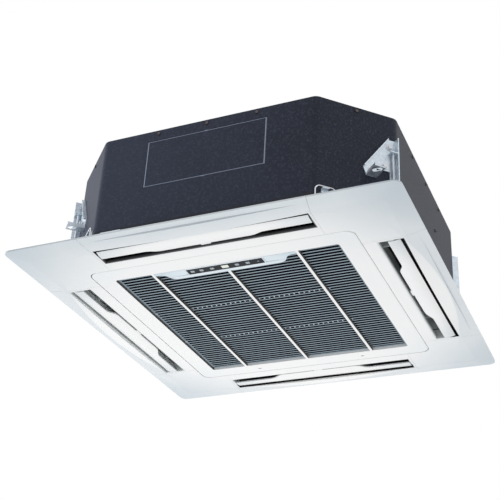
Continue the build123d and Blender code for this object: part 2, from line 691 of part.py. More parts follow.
def latch_slot(x):
    """Slot in the recess wall that a latch's tongue slides into."""
    half = LATCH_TONGUE / 2 + LATCH_SLOT_CLEAR
    y0, y1 = GRILLE_OPENING - CUT, GRILLE_OPENING + LATCH_REACH + LATCH_SLOT_CLEAR
    z0, z1 = (BORDER_BACK + z for z in LATCH_SLOT_Z)
    return block(x - half, x + half, y0, y1, z0, z1)


def panel_frame():
    """White moulded panel: rim, face with four outlets, grille recess, ledge, bosses and ears."""
    frame = panel_outer() - square_slab(HALF - RIM_SEAT, PANEL_CORNER_R, POCKET_Z, CUT)
    frame += grille_recess()
    frame -= grille_void()
    frame += [to_side(crescent_lip(), side) for side in range(4)]
    frame -= [to_side(louvre_slot(), side) for side in range(4)]
    frame -= four_corners(cover_shell(COVER_THICK + ASSEMBLY_GAP, SEAM))
    x, y = stud_place()
    frame += four_corners(rod(x, y, POCKET_Z - WELD, POCKET_Z + BOSS_HEIGHT, STUD_R + BOSS_WALL))
    frame -= four_corners(rod(x, y, 2 * FACE_Z, CUT, STUD_R + STUD_FIT))
    ears = [from_corner(ear) for ear in hook_ears()]
    frame += ears + [mirror(ear, about=Plane.YZ) for ear in ears]
    frame += [hinge_knuckle(x) for x in (-HINGE_X, HINGE_X)]
    frame -= [latch_slot(x) for x in (-LATCH_X, LATCH_X)]
    return frame


def duct_form(grow):
    """Space inside an outlet duct (grow 0) or its outer form (grow = wall), at the front."""
    half = DUCT_HALF + grow
    low_in = OUTLET_IN + ASSEMBLY_GAP + DUCT_WALL - grow
    low_out = OUTLET_OUT - ASSEMBLY_GAP - DUCT_WALL + grow
    top_in, top_out = DUCT_IN + DUCT_WALL - grow, DUCT_OUT - DUCT_WALL + grow
    knee = POCKET_Z + ASSEMBLY_GAP
    straight = block(-half, half, -low_out, -low_in, FACE_Z + DUCT_RECESS, knee)
    low = Pos(0, -(low_in + low_out) / 2, knee) * Rectangle(2 * half, low_out - low_in)
    top = Pos(0, -(top_in + top_out) / 2, DUCT_TOP) * Rectangle(2 * half, top_out - top_in)
    return straight + loft([low, top])


def outlet_duct():
    """Grey duct collar between the casing's slot and the outlet, with two guide vanes."""
    half = OUTLET_HALF + DUCT_FLANGE
    y0, y1 = -OUTLET_OUT - DUCT_FLANGE, -OUTLET_IN + DUCT_FLANGE
    collar = duct_form(DUCT_WALL) + block(-half, half, y0, y1, POCKET_Z, POCKET_Z + DUCT_WALL)
    collar -= duct_form(0)
    y0, y1 = -DUCT_OUT + DUCT_WALL + ASSEMBLY_GAP, -DUCT_IN - DUCT_WALL - ASSEMBLY_GAP
    room = duct_form(DUCT_WALL) + block(-half, half, y0, y1, DUCT_TOP - WELD, DUCT_TOP + VANE_HEIGHT)
    for x in VANE_PLACES:
        left, right = x - VANE_THICK / 2, x + VANE_THICK / 2
        collar += block(left, right, -OUTLET_OUT, -DUCT_IN, VANE_BOTTOM, BASE_TOP) & room
    bore = Cylinder(LOUVRE_PIN_R + BUSH_WALL, 3 * BUSH_LENGTH)
    for end in (-1, 1):
        collar -= along_x(bore, end * OUTLET_HALF, -LOUVRE_AXIS_Y, LOUVRE_AXIS_Z)
    return collar


def duct_seal():
    """Foam ring between a duct and the casing's underside."""
    half = DUCT_HALF + DUCT_WALL
    seal = block(-half, half, -DUCT_OUT, -DUCT_IN, DUCT_TOP, BODY_LIFT)
    y0, y1 = -DUCT_OUT + DUCT_WALL, -DUCT_IN - DUCT_WALL
    return seal - block(-DUCT_HALF, DUCT_HALF, y0, y1, DUCT_TOP - CUT, BODY_LIFT + CUT)


def louvre_plan():
    """Plan outline of a louvre: straight outer edge, inner edge swelling in the middle."""
    end = LOUVRE_HALF
    wide, narrow = -LOUVRE_WIDE, -LOUVRE_NARROW
    mid_y = (wide + narrow) / 2
    near, far = LOUVRE_WIDE_HALF, LOUVRE_WIDE_HALF + LOUVRE_CURVE
    mid = (near + far) / 2
    lines = [
        Line((-end, -LOUVRE_OUTER), (end, -LOUVRE_OUTER)),
        Line((end, -LOUVRE_OUTER), (end, narrow)),
        Line((end, narrow), (far, narrow)),
        TangentArc((far, narrow), (mid, mid_y), tangent=(-1, 0)),
        TangentArc((near, wide), (mid, mid_y), tangent=(1, 0)),
        Line((near, wide), (-near, wide)),
        TangentArc((-near, wide), (-mid, mid_y), tangent=(-1, 0)),
        TangentArc((-far, narrow), (-mid, mid_y), tangent=(1, 0)),
        Line((-far, narrow), (-end, narrow)),
        Line((-end, narrow), (-end, -LOUVRE_OUTER)),
    ]
    return make_face(lines)


def louvre():
    """Front louvre: cambered blade with end plates, end pins and a finger tab."""
    end = LOUVRE_HALF
    bottom = FACE_Z - LOUVRE_SINK
    middle = (LOUVRE_OUTER + LOUVRE_WIDE) / 2
    prism = extrude(Pos(0, 0, 2 * FACE_Z) * louvre_plan(), 2 * FACE_DROP)
    camber_z = bottom + LOUVRE_CAMBER_R
    bar = along_x(Cylinder(LOUVRE_CAMBER_R, 2 * end), 0, -middle, camber_z)
    bar -= along_x(Cylinder(LOUVRE_CAMBER_R - LOUVRE_THICK, 3 * end), 0, -middle, camber_z)
    blade = prism & bar
    plate_r = LOUVRE_PIN_R + BUSH_WALL
    y0, y1 = -LOUVRE_AXIS_Y - plate_r, -LOUVRE_AXIS_Y + plate_r
    plate_z = bottom + LOUVRE_THICK - WELD / 2
    for side in (-1, 1):
        x0, x1 = sorted((side * (end - END_PLATE_THICK), side * end))
        blade += block(x0, x1, y0, y1, plate_z, LOUVRE_AXIS_Z)
        blade += along_x(Cylinder(plate_r, x1 - x0), (x0 + x1) / 2, -LOUVRE_AXIS_Y, LOUVRE_AXIS_Z)
        pin_x = side * (end + LOUVRE_PIN_LENGTH / 2)
        pin = Cylinder(LOUVRE_PIN_R, LOUVRE_PIN_LENGTH)
        blade += along_x(pin, pin_x, -LOUVRE_AXIS_Y, LOUVRE_AXIS_Z)
    half = TAB_WIDTH / 2
    y0, y1 = -LOUVRE_WIDE - TAB_ROOT, -LOUVRE_WIDE + TAB_REACH
    return blade + block(-half, half, y0, y1, bottom + TAB_LOW, bottom + TAB_HIGH)


def louvre_bushes():
    """Bushes in the duct's end walls for all four louvres."""
    bush = Cylinder(LOUVRE_PIN_R + BUSH_WALL - BUSH_FIT, BUSH_LENGTH)
    bush -= Cylinder(LOUVRE_PIN_R + HINGE_FIT, 3 * BUSH_LENGTH)
    place = DUCT_HALF + BUSH_LENGTH / 2
    pair = [along_x(bush, x, -LOUVRE_AXIS_Y, LOUVRE_AXIS_Z) for x in (-place, place)]
    return [to_side(piece, side) for side in range(4) for piece in pair]


def louvre_motors():
    """Stepper motors at one end of each louvre, standing on the panel."""
    start = OUTLET_HALF + DUCT_FLANGE + ASSEMBLY_GAP
    plate_end = start + STEEL
    boss_start = LOUVRE_HALF + LOUVRE_PIN_LENGTH + ASSEMBLY_GAP
    body_z = LOUVRE_AXIS_Z + STEPPER_RISE
    reach = STEPPER_R + STEPPER_LUG
    y0, y1 = -LOUVRE_AXIS_Y - reach, -LOUVRE_AXIS_Y + reach
    motor = block(start, plate_end, y0, y1, POCKET_Z, body_z + STEPPER_R)
    body = Cylinder(STEPPER_R, STEPPER_LENGTH)
    motor += along_x(body, plate_end + STEPPER_LENGTH / 2, -LOUVRE_AXIS_Y, body_z)
    boss = Cylinder(LOUVRE_PIN_R + STEPPER_BOSS, plate_end - boss_start)
    motor += along_x(boss, (boss_start + plate_end) / 2, -LOUVRE_AXIS_Y, LOUVRE_AXIS_Z)
    return [to_side(motor, side) for side in range(4)]


def corner_covers():
    """Four snap-on corner covers."""
    return four_corners(cover_shell(COVER_THICK))


# ---------------------------------------------------------------- intake grille
def hinge_notch(x):
    """Room in the grille's border for a hinge ear over its whole swing, with the pin's bore."""
    half = KNUCKLE_WIDTH / 2 + ASSEMBLY_GAP
    y0, y1 = -GRILLE_HALF - CUT, -HINGE_Y + HINGE_NOTCH
    notch = block(x - half, x + half, y0, y1, HINGE_Z - HINGE_FLOOR, BORDER_BACK + CUT)
    bore = Cylinder(HINGE_PIN_R + BUSH_FIT, 2 * (half + PIN_GRIP))
    return notch + along_x(bore, x, -HINGE_Y, HINGE_Z)


def latch_guides(x):
    """Two hooked rails on the border's back that a latch slides between."""
    side = LATCH_LENGTH / 2 + ASSEMBLY_GAP
    y0, y1 = LATCH_Y - LATCH_WIDTH / 2, GRILLE_OPENING - LEDGE_WIDTH - ASSEMBLY_GAP
    lip_z = LATCH_TOP + ASSEMBLY_GAP
    guides = []
    for end in (-1, 1):
        inner, outer = x + end * side, x + end * (side + GUIDE_WALL)
        lip = x + end * (side - GUIDE_WALL)
        left, right = sorted((inner, outer))
        guides.append(block(left, right, y0, y1, BORDER_BACK - WELD, lip_z))
        left, right = sorted((lip, outer))
        guides.append(block(left, right, y0, y1, lip_z, lip_z + GUIDE_LIP))
    return guides


def knob_slot(x):
    """Slot in the border that a latch's knob moves in."""
    half = LATCH_KNOB + ASSEMBLY_GAP
    y0 = LATCH_Y - LATCH_KNOB / 2 - ASSEMBLY_GAP
    y1 = LATCH_Y + LATCH_KNOB / 2 + ASSEMBLY_GAP + LATCH_TRAVEL
    return block(x - half, x + half, y0, y1, FACE_Z - CUT, BORDER_BACK + CUT)


def grille_frame():
    """White border and ribs of the swinging grille, with hinge notches and latch guides."""
    slab = square_slab(GRILLE_HALF, GRILLE_CORNER_R, FACE_Z, BORDER_BACK)
    slab = chamfer(slab.faces().sort_by(Axis.Z)[0].edges(), GRILLE_CHAMFER)
    frame = slab - square_slab(WINDOW_HALF, WINDOW_CORNER_R, FACE_Z - CUT, BORDER_BACK + CUT)
    half = RIB_WIDTH / 2
    end = WINDOW_HALF + WELD
    for x in (-RIB_PITCH, 0, RIB_PITCH):
        front = -WING_BACK if x == 0 else -end
        frame += block(x - half, x + half, front, end, FACE_Z, BORDER_BACK)
    frame -= [hinge_notch(x) for x in (-HINGE_X, HINGE_X)]
    for x in (-LATCH_X, LATCH_X):
        frame += latch_guides(x)
        frame -= knob_slot(x)
    return frame


def latch(x):
    """Sliding latch drawn back; its tongue moves into the panel's wall."""
    half, depth = LATCH_LENGTH / 2, LATCH_WIDTH / 2
    tip = GRILLE_OPENING + LATCH_REACH - LATCH_TRAVEL
    body = block(x - half, x + half, LATCH_Y - depth, LATCH_Y + depth, BORDER_BACK, LATCH_TOP)
    half = LATCH_TONGUE / 2
    body += block(x - half, x + half, LATCH_Y, tip, BORDER_BACK, LATCH_TOP)
    y0, y1 = LATCH_Y - LATCH_KNOB / 2, LATCH_Y + LATCH_KNOB / 2
    knob_z = FACE_Z + GRILLE_CHAMFER / 2
    return body + block(x - LATCH_KNOB, x + LATCH_KNOB, y0, y1, knob_z, BORDER_BACK + WELD)


def hinge_pins():
    """Two steel pins that the grille turns on."""
    length = KNUCKLE_WIDTH + 2 * ASSEMBLY_GAP + 2 * PIN_GRIP
    return [along_x(Cylinder(HINGE_PIN_R, length), x, -HINGE_Y, HINGE_Z) for x in (-HINGE_X, HINGE_X)]


def slat_section():
    """End view of a slat in X = depth of the grille, Y = up, narrower at the back."""
    face, back = SLAT_FACE / 2, SLAT_BACK / 2
    points = [(-face, 0), (face, 0), (back, SLAT_DEPTH), (-back, SLAT_DEPTH)]
    return make_face(Polyline(*points, close=True))


def slat_rows():
    """Places of the slats across the window, from front to back."""
    count = int(2 * (WINDOW_HALF - INSERT_LIP) // SLAT_PITCH)
    return [(n - (count - 1) / 2) * SLAT_PITCH for n in range(count)]


def slat_ties(y):
    """One row of short ties between the two slats nearest to y."""
    gap = SLAT_PITCH / 2
    row = min(slat_rows(), key=lambda place: abs(place + gap - y)) + gap
    half = TIE_WIDTH / 2
    low, high = BORDER_BACK + WELD, INSERT_TOP - WELD
    places = [(n - (TIE_COUNT - 1) / 2) * TIE_PITCH for n in range(TIE_COUNT)]
    return [block(x - half, x + half, row - gap, row + gap, low, high) for x in places]


def grille_slats():
    """Dark slat insert behind the ribs: frame, slats across the opening and cross ties."""
    top = BORDER_BACK + INSERT_THICK
    inner = WINDOW_HALF - INSERT_LIP
    insert = square_ring(INSERT_HALF, INSERT_CORNER_R, inner, INSERT_CORNER_R, BORDER_BACK, top)
    half = inner + WELD
    wall = Plane(origin=(-half, 0, BORDER_BACK), x_dir=(0, 1, 0), z_dir=(1, 0, 0))
    slat = extrude(wall * slat_section(), 2 * half)
    pieces = [Pos(0, y, 0) * slat for y in slat_rows()]
    for y in TIE_ROWS:
        pieces += slat_ties(y)
    return insert + pieces


def air_filter():
    """Filter frame with its grid and thin mesh, lying on the slats."""
    bottom, top = INSERT_TOP, INSERT_TOP + FILTER_THICK
    half = WINDOW_HALF - INSERT_LIP
    inside = half - FILTER_RIM
    grid = square_ring(half, FILTER_CORNER_R, inside, FILTER_CORNER_R, bottom, top)
    reach, thin = inside + WELD, FILTER_BAR / 2
    bars = [block(-reach, reach, -reach, reach, bottom, bottom + FILTER_SHEET)]
    for n in range(1, FILTER_CELLS):
        place = -inside + n * 2 * inside / FILTER_CELLS
        bars.append(block(place - thin, place + thin, -reach, reach, bottom, top))
        bars.append(block(-reach, reach, place - thin, place + thin, bottom, top))
    return grid + bars


# ---------------------------------------------------------------- display
def wing_plan():
    """Outline of the display wing between the outer ribs, its back edge dipping towards the ends."""
    end = RIB_PITCH - RIB_WIDTH / 2 - WING_CLEAR
    front, shallow, deep = -WINDOW_HALF + WING_CLEAR, -WING_EDGE, -WING_BACK
    mid_x, mid_y = (WING_HALF_FRONT + WING_HALF_BACK) / 2, (shallow + deep) / 2
    lines = [
        Line((-end, front), (end, front)),
        Line((end, front), (end, shallow)),
        Line((end, shallow), (WING_HALF_FRONT, shallow)),
        TangentArc((WING_HALF_FRONT, shallow), (mid_x, mid_y), tangent=(-1, 0)),
        TangentArc((WING_HALF_BACK, deep), (mid_x, mid_y), tangent=(1, 0)),
        Line((WING_HALF_BACK, deep), (-WING_HALF_BACK, deep)),
        TangentArc((-WING_HALF_BACK, deep), (-mid_x, mid_y), tangent=(-1, 0)),
        TangentArc((-WING_HALF_FRONT, shallow), (-mid_x, mid_y), tangent=(1, 0)),
        Line((-WING_HALF_FRONT, shallow), (-end, shallow)),
        Line((-end, shallow), (-end, front)),
    ]
    return make_face(lines)


def strip_block(grow_x, grow_y, z0, z1):
    """A block centred on the display strip, larger on every side by the growth given."""
    half_x, half_y = STRIP_WIDTH / 2 + grow_x, STRIP_DEPTH / 2 + grow_y
    return block(-half_x, half_x, -STRIP_Y - half_y, -STRIP_Y + half_y, z0, z1)


def display_bezel():
    """White wing that carries the display, with a shallow facet at each side of the strip."""
    bottom = WING_FACE
    wing = extrude(Pos(0, 0, bottom) * wing_plan(), BORDER_BACK - bottom)
    wing -= strip_block(STRIP_FIT, STRIP_FIT, bottom - CUT, bottom + STRIP_THICK)
    wing -= strip_block(-STRIP_LEDGE, -STRIP_SIDE_LEDGE, bottom - CUT, BORDER_BACK + CUT)
    wing -= strip_block(-BOARD_EDGE, -BOARD_EDGE, BOARD_Z, BORDER_BACK + CUT)
    near, far = STRIP_WIDTH / 2 + FACET_START, WING_HALF_FRONT - FACET_END
    points = [(near, bottom - CUT), (far, bottom - CUT), (far, bottom), (near, bottom + FACET_DEPTH)]
    section = make_face(Polyline(*points, close=True))
    wall = Plane(origin=(0, -STRIP_Y + STRIP_DEPTH / 2, 0), x_dir=(1, 0, 0), z_dir=(0, -1, 0))
    facet = extrude(wall * section, STRIP_DEPTH)
    return wing - [facet, mirror(facet, about=Plane.YZ)]


def display_window():
    """Black strip in front of the display board, with a hole for the button."""
    top = WING_FACE + STRIP_THICK
    hole = rod(BUTTON_X, -STRIP_Y, WING_FACE - CUT, top + CUT, BUTTON_R + HINGE_FIT)
    return strip_block(0, 0, WING_FACE, top) - hole


def display_board():
    """Small board behind the strip, with its lamps."""
    inset = -BOARD_EDGE - STRIP_FIT
    board = strip_block(inset, inset, BOARD_Z, BOARD_Z + BOARD_THICK)
    return board + [rod(x, -STRIP_Y, BOARD_Z - LAMP_HEIGHT, BOARD_Z + WELD, LAMP_R) for x in LAMP_PLACES]


def manual_button():
    """Emergency push button in the strip, with a collar behind the window."""
    face = WING_FACE - BUTTON_PROUD
    collar_z = WING_FACE + STRIP_THICK + BUTTON_PLAY
    button = rod(BUTTON_X, -STRIP_Y, face, BOARD_Z - BUTTON_TRAVEL - BUTTON_PLAY, BUTTON_R)
    return button + rod(BUTTON_X, -STRIP_Y, collar_z, collar_z + COLLAR_THICK, BUTTON_R + COLLAR_WIDTH)


# ---------------------------------------------------------------- casing
def chamfer_point(u, out=0.0):
    """Plan position on the back-right chamfer: u along it, out away from the casing."""
    return CORNER_MID + (u + out) * DIAGONAL, CORNER_MID + (out - u) * DIAGONAL


def back_corner(shape):
    """Places a piece built in chamfer coordinates on the back-right chamfer."""
    return mirror(from_corner(shape), about=Plane.XZ)


def wall_piece(shape, u, z):
    """Stands a vertical piece on a wall: its base at the wall, its +Z pointing outwards."""
    return along_y(shape, u, 0, z)


def on_face(shape, side):
    """Places a piece built in wall coordinates on one of the four flat sides."""
    return to_side(Pos(0, -BODY_HALF, 0) * shape, side)


def screw():
    """Sheet-metal screw, base of the head at z = 0."""
    return rod(0, 0, 0, SCREW_HEAD_H, SCREW_HEAD_R) + rod(0, 0, -SCREW_LENGTH, BUSH_FIT, SCREW_R)


def pipe_screw_places():
    """Screw places of the pipe plate, in chamfer coordinates."""
    u0, u1, z0, z1 = PIPE_WINDOW
    edge = PIPE_PLATE_LAP / 2
    return [(u, z) for u in (u0 - edge, u1 + edge) for z in (z0 + PIPE_SCREW_INSET, z1 - PIPE_SCREW_INSET)]


def screw_spread(shape):
    """Copies a wall piece to every casing screw place."""
    z = BODY_TOP - SCREW_DROP
    pieces = []
    for side in range(4):
        pieces += [on_face(wall_piece(shape, n * SCREW_PITCH, z), side) for n in (-1, 0, 1)]
    pieces += four_corners(from_corner(wall_piece(shape, 0, z)))
    for side in (1, 3):
        pieces.append(on_face(wall_piece(shape, SEAM_SCREW_X, SEAM_SCREW_Z), side))
    plate = Pos(0, -PIPE_PLATE, 0)
    pieces += [back_corner(plate * wall_piece(shape, u, place)) for u, place in pipe_screw_places()]
    return pieces


def bracket_spread(shape):
    """Copies a wall piece to every bracket bolt on all four chamfers."""
    pieces = []
    for u, z in bracket_bolt_places():
        pieces += four_corners(from_corner(wall_piece(shape, u, z)))
    return pieces


def pipe_window(grow, depth):
    """Block through the back-right chamfer where the pipes come out."""
    u0, u1, z0, z1 = PIPE_WINDOW
    return back_corner(block(u0 - grow, u1 + grow, -depth, depth, z0 - grow, z1 + grow))


def socket_bore(length):
    """Cylinder through the back wall where the drain socket passes."""
    return on_face(wall_piece(Cylinder(SOCKET_R + ASSEMBLY_GAP, length), -PUMP_X, DRAIN_Z), 2)


def gland_bore(grow, length):
    """Cylinder through the left wall where the cable gland passes."""
    return on_face(wall_piece(Cylinder(CABLE_R + GLAND_WALL + grow, length), -CABLE_Y, CABLE_Z), 3)


def casing_ring():
    """Bent sheet-steel walls with the knock-out opening, pipe window and holes, before they part."""
    ring = octagon_slab(0, BASE_TOP, BODY_TOP) - octagon_slab(SHEET, BASE_TOP - CUT, BODY_TOP + CUT)
    depth = 4 * SHEET
    ring -= block(-HALF_KNOCK, HALF_KNOCK, -BODY_HALF - CUT, -BODY_HALF + depth, KNOCK_LOW, KNOCK_HIGH)
    ring -= pipe_window(0, depth)
    ring -= screw_spread(Cylinder(SCREW_R + HOLE_CLEAR, 2 * depth))
    ring -= bracket_spread(Cylinder(BOLT_R + HOLE_CLEAR, 2 * depth))
    ring -= socket_bore(2 * depth)
    return ring - gland_bore(0, 2 * depth)


def side_zone(grow):
    """The part of the plan that the right wall's flat sheet takes, over the full height."""
    reach = BODY_HALF - CORNER_LEG - BEND_R / 2 + grow
    return block(BODY_HALF - BEND_R, BODY_HALF + CUT, -reach, reach, 0, BODY_TOP + CUT)


def front_back_walls():
    """Two sheets, each a front or back wall with the chamfers bent at its ends."""
    walls = casing_ring() - [side_zone(WALL_SEAM), mirror(side_zone(WALL_SEAM), about=Plane.YZ)]
    return walls.solids()


def side_walls():
    """The flat sheets of the right and left walls."""
    ring = casing_ring()
    return [ring & side_zone(0), ring & mirror(side_zone(0), about=Plane.YZ)]


def duct_knockout():
    """Plate left in the front opening, held by a tab above and one below."""
    gap = KNOCKOUT_GAP
    y0, y1 = -BODY_HALF, -BODY_HALF + SHEET
    plate = block(-HALF_KNOCK + gap, HALF_KNOCK - gap, y0, y1, KNOCK_LOW + gap, KNOCK_HIGH - gap)
    half = KNOCKOUT_TAB / 2
    return plate + block(-half, half, y0, y1, KNOCK_LOW, KNOCK_HIGH)


def casing_top():
    """Lid with a flange inside the walls and four pressed beads."""
    inset = SHEET + ASSEMBLY_GAP
    lid = octagon_slab(inset, BODY_TOP - LID_FLANGE, BODY_TOP)
    lid -= octagon_slab(inset + SHEET, BODY_TOP - LID_FLANGE - CUT, LID_UNDERSIDE)
    for quarter in range(4):
        place = Rot(0, 0, 45 + 90 * quarter) * Pos(BEAD_RADIUS, 0, LID_UNDERSIDE)
        lid += extrude(place * SlotOverall(BEAD_LENGTH, BEAD_WIDTH), SHEET + BEAD_RISE)
        hollow = SlotOverall(BEAD_LENGTH - 2 * SHEET, BEAD_WIDTH - 2 * SHEET)
        lid -= extrude(place * hollow, BEAD_RISE)
    return lid - screw_spread(Cylinder(SCREW_R + HOLE_CLEAR, 2 * SCREW_LENGTH))


def liner_joints():
    """Thin cuts at the octagon's corners, square to the bisector, that part the wall boards."""
    corner = BODY_HALF - CORNER_LEG
    joints = []
    for side in range(4):
        for end in (-1, 1):
            slit = block(-BEND_R, 3 * LINER_THICK, -LINER_JOINT / 2, LINER_JOINT / 2, 0, BODY_TOP)
            place = Pos(end * corner, -BODY_HALF, 0) * Rot(0, 0, 90 + end * OCTAGON_TURN / 2)
            joints.append(to_side(place * slit, side))
    return joints


def foam_liner():
    """Foam boards inside the walls and a board under the lid."""
    inset = SHEET + ASSEMBLY_GAP
    hollow = octagon_slab(inset + LINER_THICK, PAN_TOP - CUT, BODY_TOP)
    walls = octagon_slab(inset, PAN_TOP, LINER_UNDERSIDE) - hollow
    top = octagon_slab(inset, LINER_UNDERSIDE + LINER_JOINT, LID_UNDERSIDE)
    shoulder_z = BODY_TOP - LID_FLANGE - ASSEMBLY_GAP
    shoulder = octagon_slab(0, shoulder_z, BODY_TOP)
    shoulder -= octagon_slab(inset + SHEET + ASSEMBLY_GAP, shoulder_z - CUT, BODY_TOP + CUT)
    top -= shoulder
    top -= rod(0, 0, PAN_TOP, BODY_TOP, FIXING_R + MOTOR_LAP + LINER_MOTOR_GAP)
    walls -= shoulder
    walls -= pipe_window(0, 2 * LINER_THICK)
    walls -= socket_bore(4 * LINER_THICK)
    walls -= gland_bore(GLAND_FLAT, 4 * LINER_THICK)
    walls -= screw_spread(Cylinder(SCREW_R + ASSEMBLY_GAP, 2 * SCREW_LENGTH + CUT))
    walls -= bracket_spread(Cylinder(BOLT_R + ASSEMBLY_GAP, 2 * BOLT_LENGTH + CUT))
    top -= screw_spread(Cylinder(SCREW_R + ASSEMBLY_GAP, 2 * SCREW_LENGTH + CUT))
    boards = walls - liner_joints()
    return [*boards.solids(), *top.solids()]


def bracket_plate():
    """The bracket's back plate with the bent flange along its sloping edge."""
    tip, shoulder = HANGER_U - BRACKET_TIP, LUG_Z + LUG_SHOULDER
    left, right, notch = HANGER_U - LUG_HALF, HANGER_U + LUG_HALF, LUG_Z + LUG_NOTCH
    apex, strip = BRACKET_RIGHT - BRACKET_APEX, BRACKET_RIGHT - BRACKET_STRIP
    points = [(BRACKET_RIGHT, BRACKET_FOOT), (BRACKET_RIGHT, BRACKET_TOP), (apex, BRACKET_TOP)]
    points += [(tip, shoulder), (left, LUG_Z), (right, LUG_Z), (right, notch), (strip, notch)]
    points.append((strip, BRACKET_FOOT))
    plate = extrude(Plane.XZ * make_face(Polyline(*points, close=True)), STEEL)
    run, rise = apex - tip, BRACKET_TOP - shoulder
    length = hypot(run, rise)
    step_u, step_z = STEEL * rise / length, -STEEL * run / length
    edge = [(apex, BRACKET_TOP), (tip, shoulder), (tip + step_u, shoulder + step_z)]
    edge.append((apex + step_u, BRACKET_TOP + step_z))
    return plate + extrude(Plane.XZ * make_face(Polyline(*edge, close=True)), BRACKET_FLANGE)


def hanger_bracket():
    """Galvanised bracket at the front-right chamfer: back plate, flanges, slotted lug, stud ears."""
    left, right = HANGER_U - LUG_HALF, HANGER_U + LUG_HALF
    depth = STUD_OUT + STUD_INSET
    reach = HANGER_OUT + LUG_BEYOND
    bracket = bracket_plate()
    bracket += block(BRACKET_RIGHT - STEEL, BRACKET_RIGHT, -depth, 0, BRACKET_FOOT, BRACKET_TOP)
    bracket += block(left, right, -reach, 0, LUG_Z, LUG_Z + STEEL)
    bracket += block(left, left + STEEL, -reach, 0, LUG_Z, LUG_Z + LUG_RIM)
    for z in (BRACKET_FOOT, STUD_EAR_Z):
        bracket += block(STUD_U - STUD_INSET, BRACKET_RIGHT, -depth, 0, z, z + STEEL)
    slot = Pos(HANGER_U, -HANGER_OUT, LUG_Z - CUT) * Rot(0, 0, -45) * SlotOverall(SLOT_LENGTH, 2 * SLOT_R)
    bracket -= extrude(slot, STEEL + 2 * CUT)
    bracket -= rod(STUD_U, -STUD_OUT, BRACKET_FOOT - CUT, BRACKET_TOP, STUD_R + STUD_FIT)
    for u, z in bracket_bolt_places():
        bracket -= wall_piece(Cylinder(BOLT_R + HOLE_CLEAR, 3 * STEEL), u, z)
    return from_corner(bracket)


def bracket_bolt_places():
    """Bolts of one bracket: place along the chamfer and height."""
    return [(BRACKET_RIGHT - inset, z) for inset, z in BRACKET_BOLTS] + [(HANGER_U, LUG_BOLT_Z)]


def bracket_bolt():
    """Hexagon bolt with its washer, under face of the washer at z = 0."""
    head = rod(0, 0, 0, WASHER_THICK, WASHER_R)
    head += hex_prism(0, 0, WASHER_THICK - BUSH_FIT, WASHER_THICK + HEX_HEIGHT, HEX_BOLT_R)
    return head + rod(0, 0, -BOLT_LENGTH, BUSH_FIT, BOLT_R)


def panel_studs():
    """Long screws from the bracket ears down to the panel, each with a nut on the panel's boss."""
    top = STUD_EAR_Z + STEEL
    stud = rod(STUD_U, -STUD_OUT, FACE_Z + COVER_THICK + CUT, top + WELD, STUD_R)
    stud += hex_prism(STUD_U, -STUD_OUT, top, top + HEX_HEIGHT, HEX_BOLT_R)
    nut_z = POCKET_Z + BOSS_HEIGHT
    nut = hex_prism(STUD_U, -STUD_OUT, nut_z, nut_z + HEX_HEIGHT, HEX_BOLT_R)
    nut -= rod(STUD_U, -STUD_OUT, POCKET_Z, STUD_EAR_Z, STUD_R + SHAFT_FIT)
    return [piece for shape in (stud, nut) for piece in four_corners(from_corner(shape))]


def panel_hook():
    """Bent wire hook at the front-right chamfer, its ends turned in to its pivots."""
    left, right = HOOK_LEFT, HOOK_LEFT + HOOK_WIDTH
    y = -HOOK_OUT
    points = [(left + HOOK_END, y, HOOK_PIVOT_Z), (left, y, HOOK_PIVOT_Z), (left, y, HOOK_TOP_Z)]
    points += [(right, y, HOOK_TOP_Z), (right, y, HOOK_PIVOT_Z), (right - HOOK_END, y, HOOK_PIVOT_Z)]
    path = FilletPolyline(*points, radius=[HOOK_BEND_R, HOOK_CORNER_R, HOOK_CORNER_R, HOOK_BEND_R])
    section = Plane(origin=path @ 0, z_dir=path % 0) * Circle(HOOK_WIRE_R)
    return from_corner(sweep(section, path=path))


def base_clips():
    """Shelves that the wire hooks rest on, and a small strip on the front of the base."""
    mid = HOOK_LEFT + HOOK_WIDTH / 2
    x0, x1 = mid - CATCH_WIDTH / 2, mid + CATCH_WIDTH / 2
    shelf_top = HOOK_TOP_Z - HOOK_WIRE_R - CATCH_GAP
    catch = block(x0, x1, -CLIP_THICK, 0, BASE_TOP + CUT, shelf_top)
    catch += block(x0, x1, -HOOK_OUT - HOOK_WIRE_R, 0, shelf_top - CLIP_THICK, shelf_top)
    catch = from_corner(catch)
    x0, z0 = CLIP_PLACE
    y0, y1 = -BODY_HALF - CLIP_PROUD, -BODY_HALF
    strip = block(x0, x0 + CLIP_LENGTH, y0, y1, z0, z0 + CLIP_HEIGHT)
    return [catch, mirror(catch, about=Plane.YZ), strip]


# ---------------------------------------------------------------- base and bell mouth
def bell_screw_places():
    """Plan places of the bell mouth's eight screws."""
    edge = (PAN_OPENING + PAN_STEP) / 2
    places = []
    for side in (-1, 1):
        for x in (-BELL_SCREW_X, BELL_SCREW_X):
            places += [(x, side * edge), (side * edge, x)]
    return places


def pump_screw_places():
    """Plan places of the two screws of the pump's plate."""
    return [(PUMP_X + step, PUMP_SCREW_Y) for step in PUMP_SCREWS]


